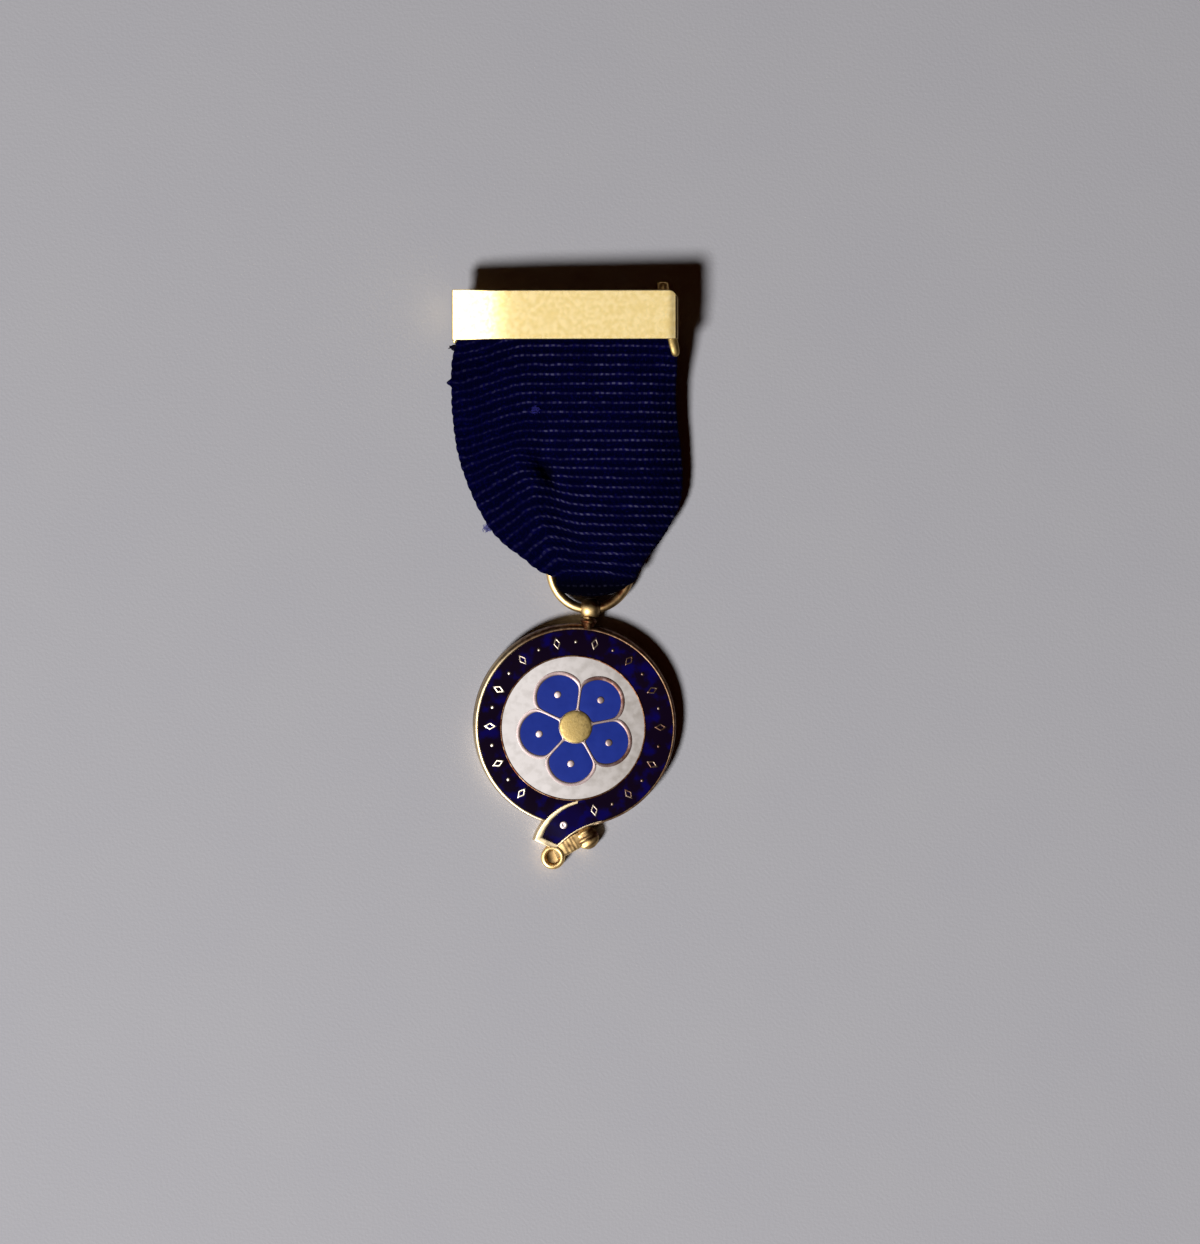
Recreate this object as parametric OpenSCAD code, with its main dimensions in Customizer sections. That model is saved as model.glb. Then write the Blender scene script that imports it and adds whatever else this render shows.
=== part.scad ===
// Badge of a buckled strap round a five-petal blossom, hung on a ribbed ribbon from a brooch bar.
// It lies on its back on a table. The origin is the middle of the medal's back face, the bar is
// towards +Y and the front faces +Z. All sizes are in millimetres.

/* [Medal] */
// Radius of the medal at its back edge
medal_r = 12.0; // [11.9:0.05:12.3]
// Radius of the flat front face
face_r = 11.46; // [11.4:0.02:11.6]
// Thickness from the back to the front face
medal_t = 2.2; // [1.9:0.1:2.5]
// Turn of the medal about its centre, clockwise from the ribbon's direction
medal_turn = 7.2; // [5:0.2:9]
// Depth of the enamel cells
cell_depth = 0.35; // [0.25:0.05:0.5]

/* [Strap] */
// Inner radius of the strap's enamel
strap_in_r = 8.5; // [8.4:0.02:8.7]
// Outer radius of the strap's enamel
strap_out_r = 11.2; // [11.0:0.02:11.25]
// Lozenges along the strap, with a pellet between each two
lozenge_count = 13; // [9:1:13]
// Length of a lozenge across the strap
lozenge_l = 1.6; // [1.2:0.1:1.8]
// Width of a lozenge along the strap
lozenge_w = 0.95; // [0.8:0.05:1.1]
// Width of the gilt line round a lozenge
lozenge_line = 0.2; // [0.15:0.01:0.25]
// Radius of a pellet
pellet_r = 0.22; // [0.15:0.01:0.3]

/* [Blossom] */
// Radius of the white ground
ground_r = 8.18; // [7.9:0.02:8.25]
// Distance of a petal's middle from the blossom's middle
petal_at = 3.87; // [3.7:0.01:4.0]
// Radius of a petal's enamel
petal_r = 2.6; // [2.4:0.01:2.7]
// Radius of the gilt outline round a petal
petal_outline_r = 3.0; // [2.85:0.01:3.1]
// Half the width of the gilt line between two petals
petal_line = 0.185; // [0.12:0.005:0.25]
// Radius of the gilt boss in the middle
boss_r = 1.88; // [1.6:0.02:1.95]
// Radius of the gilt dot in each petal
dot_r = 0.44; // [0.3:0.01:0.5]

/* [Ring] */
// Radius of the ring's wire
wire_r = 0.57; // [0.5:0.01:0.6]
// Radius of the ring at the middle of its wire
ring_r = 4.62; // [4.58:0.01:4.7]
// Tilt of the ring, with its far side up inside the ribbon
ring_tilt = 6; // [5.5:0.1:6.5]
// Radius of the ball that holds the ring
ball_r = 1.25; // [1.2:0.01:1.3]
// Radius of the hole through the ball
ball_hole_r = 0.76; // [0.72:0.01:0.8]

/* [Ribbon] */
// Thickness of each layer over its ribs
ribbon_t = 1.02; // [1.0:0.01:1.03]
// Distance from one rib to the next
rib_pitch = 1.09; // [0.9:0.01:1.4]
// Depth of the grooves between the ribs
groove_h = 0.14; // [0.04:0.01:0.16]
// Height above the table of the middle of the layer that lies on it
lying_level = 0.53; // [0.52:0.005:0.54]

/* [Brooch bar] */
// Width of the plate
plate_w = 25.95; // [25.5:0.05:26.5]
// Height of the plate
plate_h = 5.56; // [5.0:0.02:6.0]
// Thickness of the plate and its returns
plate_t = 0.8; // [0.7:0.02:0.85]
// Height of the plate's front face above the table
plate_level = 5.8; // [5.75:0.01:6.0]
// Radius of the pin
pin_r = 0.45; // [0.35:0.01:0.55]

/* [Hidden] */
petal_names = [for (i = [1:5]) str("petal_enamel_", i)];
$fn = 96;

gilt = [0.83, 0.66, 0.31];
satin_gilt = [0.93, 0.82, 0.52];
strap_blue = [0.03, 0.02, 0.2];
petal_blue = [0.12, 0.2, 0.65];
white = [0.9, 0.9, 0.88];
ribbon_blue = [0.03, 0.02, 0.14];

// Clear space round each enamel, and how far its top lies below the gilt lines
enamel_gap = 0.03;
enamel_drop = 0.03;
cell_floor = medal_t - cell_depth;
over = 0.2;
small_fn = 32;

// Whatever turns with the medal
module turned() {
    rotate([0, 0, -medal_turn]) children();
}

// Rim: a small chamfer at the back, an upright wall and a rounded shoulder up to the face
back_chamfer = 0.15;
shoulder_z = 1.25;
shoulder_steps = 5;
function shoulder(i) = let (a = 90 * i / shoulder_steps)
    [face_r + (medal_r - face_r) * cos(a), shoulder_z + (medal_t - shoulder_z) * sin(a)];

module disc() {
    rotate_extrude() polygon(concat(
        [[0, 0], [medal_r - back_chamfer, 0], [medal_r, back_chamfer]],
        [for (i = [0:shoulder_steps]) shoulder(i)],
        [[0, medal_t]]));
}

// Strap tail, in the medal's own frame: a crescent between two circles, cut off square at its end
tail_top = [3.78, -14.40];
tail_top_r = 6.14;
// The tail's lower edge leaves the strap's outer edge smoothly at this angle
tail_leaves = -69.2;
tail_under_r = 9.77;
tail_under = (strap_out_r + tail_under_r) * [cos(tail_leaves), sin(tail_leaves)];
tail_end = [-1.27, -13.46];
tail_end_turn = -17.6;
tail_rim_top = [3.50, -14.70];
tail_rim_top_r = 6.71;
tail_rim_under_r = tail_under_r - 0.2;
tail_rim_end = 0.68;
// Where the tail leaves the strap, right of its upper border
tail_join_x = 1.34;
// How far the tail's shape reaches into the strap
tail_reach_x = 3.6;
tail_root = 0.4;
tail_skirt = 0.25;

// Everything on the strap's side of the tail's end, moved outwards by d
module before_tail_end(d) {
    translate(tail_end) rotate(tail_end_turn) translate([-medal_r, -d]) square(2 * medal_r);
}

// The tail's gilt outline, grown by g
module tail_outline(g = 0) {
    intersection() {
        difference() {
            translate(tail_rim_top) circle(tail_rim_top_r + g);
            translate(tail_under) circle(tail_rim_under_r - g);
        }
        before_tail_end(tail_rim_end + g);
        translate([-medal_r, -2 * medal_r]) square([medal_r + tail_reach_x + tail_root, 2 * medal_r]);
    }
}

// The strap's enamel cell with its tail, shrunk by g
module strap_cell(g = 0) {
    difference() {
        circle(strap_out_r - g);
        circle(strap_in_r + g);
        intersection() {
            translate(tail_rim_top) circle(tail_rim_top_r + g);
            translate([-medal_r, -2 * medal_r]) square([medal_r + tail_join_x + g, 2 * medal_r]);
        }
    }
    intersection() {
        difference() {
            translate(tail_top) circle(tail_top_r - g);
            translate(tail_under) circle(tail_under_r + g);
            circle(strap_in_r + g);
        }
        before_tail_end(-g);
        translate([-medal_r, -2 * medal_r]) square([medal_r + tail_reach_x - g, 2 * medal_r]);
    }
}

// Motifs along the strap: lozenges with a pellet between each two, from the buckle round to the tail
motif_from = 238;
motif_to = -70;
motif_count = 2 * lozenge_count - 1;
motif_at_r = (strap_in_r + strap_out_r) / 2;
function motif_angle(i) = motif_from + (motif_to - motif_from) * i / (motif_count - 1);
function lozenge(g) = let (grow = g * norm([lozenge_l, lozenge_w]))
    let (a = lozenge_l / 2 + grow / lozenge_w, b = lozenge_w / 2 + grow / lozenge_l)
    [[a, 0], [0, b], [-a, 0], [0, -b]];

module at_motif(i) {
    rotate(motif_angle(i)) translate([motif_at_r, 0]) children();
}

// Every motif's outline, grown by g
module motifs(g = 0) {
    for (i = [0:2:motif_count - 1]) at_motif(i) polygon(lozenge(g));
    for (i = [1:2:motif_count - 1]) at_motif(i) circle(pellet_r + g, $fn = small_fn);
}

// The enamel inside every lozenge, shrunk by g
module lozenge_cells(g = 0) {
    for (i = [0:2:motif_count - 1]) at_motif(i) polygon(lozenge(-lozenge_line - g));
}

// Eyelet in the strap's tail
eyelet_at = [0.06, -11.40];
eyelet_r = 0.46;
eyelet_hole_r = 0.15;

// Blossom: the gilt outline is five round lobes, each petal is a lobe cut by its neighbours' lines
blossom_turn = 126;
petal_count = 5;
petal_in_r = 2.02;
dot_at = 4.26;
function petal_angle(i) = blossom_turn - 360 / petal_count * (i - 1);

module blossom_outline(g = 0) {
    for (i = [1:petal_count])
        rotate(petal_angle(i)) translate([petal_at, 0]) circle(petal_outline_r + g);
    circle(petal_in_r);
}

// One petal's enamel cell, shrunk by g
module petal_cell(i, g = 0) {
    half = 180 / petal_count;
    inset = (petal_line + g) / sin(half);
    far = petal_at + petal_outline_r;
    rotate(petal_angle(i)) difference() {
        intersection() {
            translate([petal_at, 0]) circle(petal_r - g);
            polygon([[inset, 0], [far, (far - inset) * tan(half)], [far, -(far - inset) * tan(half)]]);
        }
        circle(petal_in_r + g);
        translate([dot_at, 0]) circle(dot_r + g, $fn = small_fn);
    }
}

// Buckle: a hollow loop and a round lobe, joined by a ridged bar under the tail
loop_at = [-0.70, -15.26];
loop_r = 1.39;
loop_hole_r = 0.87;
lobe_at = [2.96, -12.55];
lobe_r = 1.32;
buckle_top = 1.75;
buckle_dish = 0.7;
buckle_bar_in = 1.15;
buckle_bar_out = 0.62;
buckle_ridge_r = 0.22;
buckle_ridges = 5;

// The lobe's section: an upright wall under a shallow dome
module lobe_section() {
    dome_r = (pow(lobe_r, 2) + pow(buckle_dish, 2)) / (2 * buckle_dish);
    intersection() {
        square([lobe_r, buckle_top + buckle_dish / 2]);
        translate([0, buckle_top + buckle_dish / 2 - dome_r]) circle(dome_r);
    }
}

module buckle() {
    bar = lobe_at - loop_at;
    bar_l = norm(bar);
    ridged_l = bar_l - loop_r - lobe_r;
    difference() {
        union() {
            translate(loop_at) cylinder(h = buckle_top, r = loop_r);
            translate(lobe_at) rotate_extrude() lobe_section();
            translate(loop_at) rotate([0, 0, atan2(bar[1], bar[0])]) {
                translate([0, -buckle_bar_out, 0])
                    cube([bar_l, buckle_bar_out + buckle_bar_in, buckle_top - buckle_ridge_r]);
                for (i = [1:buckle_ridges])
                    translate([loop_r + ridged_l * (i - 0.5) / buckle_ridges, -buckle_bar_out,
                        buckle_top - buckle_ridge_r])
                        rotate([-90, 0, 0])
                        cylinder(h = buckle_bar_out + buckle_bar_in, r = buckle_ridge_r, $fn = small_fn);
            }
        }
        translate([loop_at[0], loop_at[1], buckle_top - buckle_dish]) cylinder(h = medal_t, r = loop_hole_r);
    }
}

// Neck and drilled ball, in the medal's own frame
ball_y = 13.7;
ball_lift = 0.07;
ball_z = ball_r + ball_lift;
neck_r = 0.72;
collar_r = 0.95;
collar_y = 12.25;
collar_l = 0.4;
// The hole is straight and the ring curved, so the hole lies a little inside the ring's bend
hole_shift = pow(ball_r, 2) / (4 * ring_r);

// Half the section of neck, collar and ball, along their common axis
module neck_section() {
    translate([0, face_r]) square([neck_r, ball_y - face_r]);
    translate([0, collar_y - collar_l / 2]) square([collar_r, collar_l]);
    intersection() {
        translate([0, ball_y]) circle(ball_r);
        translate([0, ball_y - ball_r]) square(2 * ball_r);
    }
}

module neck_and_ball() {
    translate([0, 0, ball_z]) difference() {
        rotate([-90, 0, 0]) rotate([0, 0, 90]) rotate_extrude() neck_section();
        translate([0, ball_y, 0]) rotate([0, 0, medal_turn]) translate([0, hole_shift, 0])
            rotate([0, 90, 0]) cylinder(h = 3 * ball_r, r = ball_hole_r, center = true);
    }
}

boss_rise = 0.12;

module medal_body() color(gilt) turned() {
    difference() {
        union() {
            disc();
            linear_extrude(shoulder_z) tail_outline(tail_skirt);
            linear_extrude(medal_t) tail_outline();
        }
        translate([0, 0, cell_floor]) linear_extrude(medal_t) difference() {
            strap_cell();
            motifs();
            translate(eyelet_at) circle(eyelet_r, $fn = small_fn);
        }
        translate([0, 0, cell_floor]) linear_extrude(medal_t) lozenge_cells();
        translate([0, 0, cell_floor]) linear_extrude(medal_t) difference() {
            circle(ground_r);
            blossom_outline();
        }
        for (i = [1:petal_count])
            translate([0, 0, cell_floor]) linear_extrude(medal_t) petal_cell(i);
        translate([eyelet_at[0], eyelet_at[1], cell_floor])
            cylinder(h = medal_t, r = eyelet_hole_r, $fn = small_fn);
    }
    translate([0, 0, cell_floor]) cylinder(h = cell_depth + boss_rise, r = boss_r);
    buckle();
    neck_and_ball();
}

module enamel() {
    turned() translate([0, 0, cell_floor]) linear_extrude(cell_depth - enamel_drop) children();
}

module belt_enamel() color(strap_blue) enamel() {
    difference() {
        strap_cell(enamel_gap);
        motifs(enamel_gap);
        translate(eyelet_at) circle(eyelet_r + enamel_gap, $fn = small_fn);
    }
    lozenge_cells(enamel_gap);
}

module ground_enamel() color(white) enamel() difference() {
    circle(ground_r - enamel_gap);
    blossom_outline(enamel_gap);
}

module petal_enamel(i) color(petal_blue) enamel() petal_cell(i, enamel_gap);

// Suspension ring, hanging in the ball's hole and tilted up into the ribbon's fold
ball_x = ball_y * sin(medal_turn);
ball_part_y = ball_y * cos(medal_turn);

module suspension_ring() color(gilt)
    translate([ball_x, ball_part_y, ball_z]) rotate([ring_tilt, 0, 0]) translate([0, ring_r, 0])
        rotate_extrude() translate([ring_r, 0]) circle(wire_r, $fn = small_fn);

// Brooch plate: a flat strip with both ends rolled back, and a small tongue below each end
plate_right = 11.8;
plate_left = plate_right - plate_w;
plate_low = 44.8;
plate_corner = 0.5;
return_level = 2.3;
// Tongues: thickness, height of their backs, and for each its start, its tip and its width
tongue_t = 0.6;
tongue_level = plate_level - 0.75;
right_tongue = [[plate_right - 0.52, plate_low + 0.4], [plate_right - 0.1, plate_low - 1.95], 0.76];
left_tongue = [[plate_left + 0.4, plate_low + 0.4], [plate_left + 0.25, plate_low - 0.35], 0.5];

module plate_outline() {
    translate([plate_left, plate_low]) difference() {
        square([plate_w, plate_h]);
        translate([plate_w - plate_corner, plate_h - plate_corner]) square(plate_corner);
    }
    translate([plate_right - plate_corner, plate_low + plate_h - plate_corner]) circle(plate_corner);
}

// Section across the plate's width, seen along +Y
module plate_section() {
    inner = plate_level - plate_t;
    inner_w = plate_w - 2 * plate_t;
    difference() {
        union() {
            translate([plate_left + plate_t, return_level]) square([inner_w, plate_level - return_level]);
            translate([plate_left, return_level]) square([plate_w, inner - return_level]);
            for (x = [plate_left + plate_t, plate_right - plate_t]) translate([x, inner]) circle(plate_t);
        }
        translate([plate_left + plate_t, 0]) square([inner_w, inner]);
    }
}

// A strip with a round tip, from its start to its tip
module tongue(t) {
    along = t[1] - t[0];
    w = t[2];
    translate([t[0][0], t[0][1], tongue_level]) rotate([0, 0, atan2(along[1], along[0])]) {
        translate([0, -w / 2, 0]) cube([norm(along), w, tongue_t]);
        translate([norm(along), 0, 0]) cylinder(h = tongue_t, r = w / 2, $fn = small_fn);
    }
}

module brooch_plate() color(satin_gilt) {
    intersection() {
        linear_extrude(plate_level + over) plate_outline();
        translate([0, plate_low + plate_h, 0]) rotate([90, 0, 0]) linear_extrude(plate_h) plate_section();
    }
    tongue(right_tongue);
    tongue(left_tongue);
}

// Hidden back: the strip that closes the bar, with the hinge, pin and catch, one solid
strip_gap = 0.05;
strip_t = 0.52;
strip_inset = 0.35;
strip_low = plate_low + strip_inset;
strip_high = plate_low + plate_h - strip_inset;
strip_left = plate_left + plate_t + strip_gap;
strip_right = plate_right - plate_t - strip_gap;
strip_level = return_level;
hinge_x = 10.0;
hinge_r = 0.95;
hinge_block_w = 1.6;
hinge_low = plate_low + 1.2;
hinge_high = plate_low + plate_h + 1.0;
pin_y = plate_low + 0.5 * plate_h;
pin_level = hinge_r;
catch_x = -11.2;
catch_l = 1.6;
catch_r = 1.05;
catch_slot = 0.75;
catch_wall = 0.15;
pin_tip_x = catch_x - 1.3;
pin_point_l = 1.5;
pin_point_r = 0.05;

module brooch_pin() color(gilt) {
    translate([strip_left, strip_low, strip_level])
        cube([strip_right - strip_left, strip_high - strip_low, strip_t]);
    translate([hinge_x, hinge_low, pin_level]) rotate([-90, 0, 0])
        cylinder(h = hinge_high - hinge_low, r = hinge_r);
    translate([hinge_x - hinge_r, hinge_low, pin_level])
        cube([hinge_block_w, strip_high - hinge_low, strip_level - pin_level + strip_t]);
    difference() {
        union() {
            translate([catch_x - catch_l / 2, pin_y, catch_r]) rotate([0, 90, 0])
                cylinder(h = catch_l, r = catch_r);
            translate([catch_x - catch_l / 2, pin_y - catch_r, catch_r])
                cube([catch_l, 2 * catch_r, strip_level - catch_r + strip_t]);
        }
        translate([catch_x - catch_l, pin_y - 2 * catch_r, pin_level - catch_slot / 2])
            cube([2 * catch_l, 2 * catch_r - catch_wall, catch_slot]);
    }
    translate([pin_tip_x + pin_point_l, pin_y, pin_level]) rotate([0, 90, 0])
        cylinder(h = hinge_x - pin_tip_x - pin_point_l, r = pin_r, $fn = small_fn);
    translate([pin_tip_x, pin_y, pin_level]) rotate([0, 90, 0])
        cylinder(h = pin_point_l, r1 = pin_point_r, r2 = pin_r, $fn = small_fn);
}

// Ribbon: one woven band in a closed loop, over the back strip and through the ring.
// A row of points runs across the band along each rib's crest and along each groove.
// Sections of the front layer from the bar to the ring. Columns: height of the rib at the crease,
// its left end, how far that end drops below the crease, the crease, its right end, the level of the
// layer's middle above the table, and how deep the crease is dented in
AT = 0;
LEFT = 1;
DROP = 2;
CREASE = 3;
RIGHT = 4;
LEVEL = 5;
DENT = 6;
FRONT = [
    [44.8, -13.15, 0.0, -4.6, 10.85, 4.43, 0.0],
    [43.9, -13.95, 0.9, -4.6, 11.45, 4.42, 0.0],
    [42.0, -14.20, 2.1, -4.7, 11.60, 4.38, 0.05],
    [39.0, -14.20, 2.6, -4.8, 11.50, 4.25, 0.15],
    [36.0, -14.00, 3.0, -4.7, 11.55, 4.10, 0.30],
    [33.0, -13.20, 3.5, -4.2, 11.75, 3.95, 0.45],
    [30.0, -11.80, 4.0, -3.4, 12.00, 3.80, 0.55],
    [28.0, -10.50, 4.2, -3.0, 12.00, 3.70, 0.50],
    [26.0, -9.20, 3.9, -2.7, 11.85, 3.60, 0.35],
    [24.0, -7.60, 3.3, -2.4, 11.35, 3.52, 0.15],
    [22.0, -6.20, 2.5, -2.1, 10.30, 3.42, 0.05],
    [20.0, -4.90, 1.7, -1.9, 8.85, 3.22, 0.0],
    [18.4, -4.00, 0.9, -1.7, 7.75, 3.00, 0.0],
    [17.4, -3.35, 0.3, -1.6, 6.95, 2.88, 0.0],
];
// Sections of the back layer from the ring up to the bar. Columns: height, left end, right end, level
BACK_LEFT = 1;
BACK_RIGHT = 2;
BACK_LEVEL = 3;
BACK = [
    [17.4, -2.75, 6.15, 0.0],
    [20.0, -6.2, 8.5, 0.0],
    [22.1, -8.8, 10.0, 0.0],
    [24.4, -10.5, 11.2, 0.0],
    [29.0, -12.6, 11.5, 0.0],
    [33.6, -13.7, 11.3, 0.10],
    [38.0, -13.8, 11.2, 0.60],
    [42.0, -13.7, 11.1, 1.85],
    [44.8, -13.1, 10.8, 2.84],
];
// Columns of points left and right of the crease, and the ridge beside it
left_cols = 6;
right_cols = 6;
cols = left_cols + right_cols + 1;
// The crease is a hollow with a ridge beside it. Their widths are shares of the way to the left end, and
// the ridge rises by a share of the hollow's depth
hollow_w = 0.2;
ridge_at = 0.22;
ridge_w = 0.12;
ridge_rise = 0.7;
// How the ribs bend down left of the crease, and how far the left edge droops
bend_power = 1.2;
droop = 0.35;
droop_fade = 8;
// The fold in the ring, and the fold hidden in the bar
fold_low = 15.0;
fold_steps = 6;
fold_bow = 0.1;
fold_half = [4.3, 3.55, 3.15, 2.9, 3.0, 3.25, 3.5];
rib_top = 44.8;
rib_end = 17.4;
top_fold_y = 49.3;
top_fold_steps = 4;
top_mid = (FRONT[0][LEVEL] + lying_level + BACK[len(BACK) - 1][BACK_LEVEL]) / 2;
top_fold_r = FRONT[0][LEVEL] - top_mid;
fold_r = (FRONT[len(FRONT) - 1][LEVEL] - lying_level) / 2;
fold_mid = lying_level + fold_r;
fold_y = fold_low + fold_r + ribbon_t / 2;
slope_step = 0.5;

function of_section(table, column, at) = lookup(at, [for (row = table) [row[AT], row[column]]]);

// Share of the way from the crease to the left end, or from the crease to the right end
function left_share(j) = 1 - j / left_cols;
function right_share(j) = (j - left_cols) / right_cols;

// One point on the middle of the front layer: at is the rib's height at the crease, j the column
function front_point(at, j) = let (
        crease = of_section(FRONT, CREASE, at),
        dent = of_section(FRONT, DENT, at),
        level = of_section(FRONT, LEVEL, at),
        s = j < left_cols ? left_share(j) : right_share(j),
        ridge = exp(-pow((s - ridge_at) / ridge_w, 2)),
        hollow = exp(-pow(s / hollow_w, 2)))
    j < left_cols
    ? [crease + (of_section(FRONT, LEFT, at) - crease) * s,
        at - of_section(FRONT, DROP, at) * pow(s, bend_power) + dent * ridge,
        level - dent * hollow + ridge_rise * dent * ridge
            - droop * s * s * min(1, (rib_top - at) / droop_fade, (at - rib_end) / droop_fade)]
    : [crease + (of_section(FRONT, RIGHT, at) - crease) * s, at, level - dent * hollow];

// Rows are [points on the middle, direction to the outside, depth of the groove]
function front_row(at, groove) = let (
        rise = of_section(FRONT, LEVEL, at + slope_step) - of_section(FRONT, LEVEL, at - slope_step),
        n = [0, -rise, 2 * slope_step])
    [[for (j = [0:cols - 1]) front_point(at, j)], n / norm(n), groove];

function back_row(at, groove) = let (
        rise = of_section(BACK, BACK_LEVEL, at + slope_step) - of_section(BACK, BACK_LEVEL, at - slope_step),
        n = [0, rise, -2 * slope_step],
        left = of_section(BACK, BACK_LEFT, at),
        right = of_section(BACK, BACK_RIGHT, at))
    [[for (j = [0:cols - 1]) [left + (right - left) * j / (cols - 1), at,
        lying_level + of_section(BACK, BACK_LEVEL, at)]], n / norm(n), groove];

function fold_row(k) = let (a = 180 * k / fold_steps, half = fold_half[k])
    [[for (j = [0:cols - 1]) let (dx = half * (2 * j / (cols - 1) - 1))
        [ball_x + dx, fold_y - fold_r * sin(a) + fold_bow * sin(a) * dx * dx, fold_mid + fold_r * cos(a)]],
        [0, -sin(a), cos(a)], k % 2 == 0 ? groove_h : 0];

function top_row(k) = let (a = 180 * k / top_fold_steps,
        left = FRONT[0][LEFT], right = FRONT[0][RIGHT])
    [[for (j = [0:cols - 1]) [left + (right - left) * j / (cols - 1),
        top_fold_y + top_fold_r * sin(a), top_mid - top_fold_r * cos(a)]],
        [0, sin(a), -cos(a)], 0];

rib_count = floor((rib_top - rib_end) / rib_pitch);
rib_rows = [for (i = [0:2 * rib_count - 1]) [i * rib_pitch / 2, i % 2 == 0 ? groove_h : 0]];
ribbon_rows = concat(
    [for (r = rib_rows) front_row(rib_top - r[0], r[1])],
    [front_row(rib_end, groove_h)],
    [for (k = [0:fold_steps]) fold_row(k)],
    [for (r = rib_rows) back_row(rib_end + r[0], r[1])],
    [back_row(rib_top, groove_h)],
    [for (k = [0:top_fold_steps]) top_row(k)]);

// The outer side of a row from left to right, then its inner side from right to left
function outline_of(row) = concat(
    [for (p = row[0]) p + row[1] * (ribbon_t / 2 - row[2])],
    [for (j = [cols - 1:-1:0]) row[0][j] - row[1] * ribbon_t / 2]);

module ribbon() color(ribbon_blue) {
    rows = len(ribbon_rows);
    around = 2 * cols;
    points = [for (row = ribbon_rows) each outline_of(row)];
    faces = [for (i = [0:rows - 1], j = [0:around - 1])
        let (a = i * around + j, b = i * around + (j + 1) % around, next = (i + 1) % rows,
            c = next * around + (j + 1) % around, d = next * around + j)
        each [[a, b, c], [a, c, d]]];
    polyhedron(points, faces);
}

brooch_plate();
brooch_pin();
ribbon();
suspension_ring();
medal_body();
belt_enamel();
ground_enamel();
for (i = [1:petal_count]) petal_enamel(i);
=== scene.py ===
# %% [markdown]
# # A gilt and enamel badge on a ribbed ribbon
# The real object is four things: a brooch bar, a ribbon sewn into a loop, a wire ring and a medal.
# A CAD model already fixes every size and place. This lesson dresses it: each part is remade as a fine
# surface worked out with arrays, and gets a finish made from noise and threads, never from pictures.
# The badge lies on its back on a table. The origin is the middle of the medal's back, and +Y runs up the
# ribbon.

import bpy
import numpy as np
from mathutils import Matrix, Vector


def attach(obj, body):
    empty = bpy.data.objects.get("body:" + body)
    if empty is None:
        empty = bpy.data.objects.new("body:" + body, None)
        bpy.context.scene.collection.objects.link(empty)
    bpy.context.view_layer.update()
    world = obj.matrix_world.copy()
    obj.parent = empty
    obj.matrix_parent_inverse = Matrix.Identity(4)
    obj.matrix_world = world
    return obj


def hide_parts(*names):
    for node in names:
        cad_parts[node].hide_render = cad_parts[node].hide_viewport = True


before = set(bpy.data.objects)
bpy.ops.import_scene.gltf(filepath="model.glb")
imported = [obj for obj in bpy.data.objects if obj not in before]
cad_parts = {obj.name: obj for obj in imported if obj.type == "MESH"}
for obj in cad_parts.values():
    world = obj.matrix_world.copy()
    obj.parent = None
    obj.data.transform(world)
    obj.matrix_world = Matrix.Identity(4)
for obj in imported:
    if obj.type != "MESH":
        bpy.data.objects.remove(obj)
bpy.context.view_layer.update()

# %% [markdown]
# ## The camera
# The badge was photographed from straight above. A camera 600 mm up sees it with almost no perspective.
# One scale, in pixels to the millimetre, ties the picture to the part, so the lens follows from the
# height of the frame. The long side of the picture gets Blender's sensor width.

# %% Camera
MM = 0.001
PX_PER_MM = 8.68
PICTURE_W, PICTURE_H = 1200, 1244
MEDAL_PX = (575.5, 727.0)
CAMERA_UP = 600.0
FACE_UP = 2.5
SENSOR = 36.0


def on_table(px, py):
    """The place in mm of a pixel of the picture: its distance from the medal's middle over the scale."""
    return (px - MEDAL_PX[0]) / PX_PER_MM, (MEDAL_PX[1] - py) / PX_PER_MM


camera = bpy.data.objects.new("camera", bpy.data.cameras.new("camera"))
bpy.context.scene.collection.objects.link(camera)
bpy.context.scene.camera = camera
view_x, view_y = on_table(PICTURE_W / 2, PICTURE_H / 2)
camera.location = (view_x * MM, view_y * MM, CAMERA_UP * MM)
camera.data.sensor_width = SENSOR
camera.data.lens = SENSOR * (CAMERA_UP - FACE_UP) * PX_PER_MM / PICTURE_H
camera.data.clip_start, camera.data.clip_end = 0.05, 5.0
print("lens", round(camera.data.lens, 1), "mm, looking down on", round(view_x, 2), round(view_y, 2))

# %% [markdown]
# ## Light
# Shadows tell where the lamp stood. The bar is 5.8 mm high and its shadow lies 3.7 mm to the right and
# 4.2 mm up, so one soft lamp stood at the lower left, 45 degrees up. The shadow's edge is about 2 mm
# wide, so the lamp was a quarter as wide as it was far. The room adds very little: the shadows stay deep
# and warm. A Light Path node gives the room a second, pale background that only the camera sees, where it
# looks past the table. More lamps, for the gilt, come at the end.

# %% Lamp and room
LAMP_FROM = (-0.64, -0.72, 1.0)
LAMP_FAR, LAMP_WIDE, LAMP_WATTS = 1.5, 0.35, 21.8
LAMP_WHITE = (1.0, 0.985, 0.985)
ROOM_WARM, ROOM_STRENGTH = (1.0, 0.2, 0.02, 1.0), 0.009
ROOM_PALE = (0.50, 0.50, 0.53, 1.0)


def lamp(name, aim, direction, far, wide, watts, colour):
    """A round soft lamp that stands at far times the direction from its aim, in metres, and faces it."""
    data = bpy.data.lights.new(name, "AREA")
    data.shape, data.size, data.energy, data.color = "DISK", wide, watts, colour
    made = bpy.data.objects.new(name, data)
    bpy.context.scene.collection.objects.link(made)
    away = Vector(direction).normalized()
    made.location = Vector(aim) * MM + away * far
    made.rotation_mode = "QUATERNION"
    made.rotation_quaternion = away.to_track_quat("Z", "Y")
    made.visible_camera = False
    return made


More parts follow.
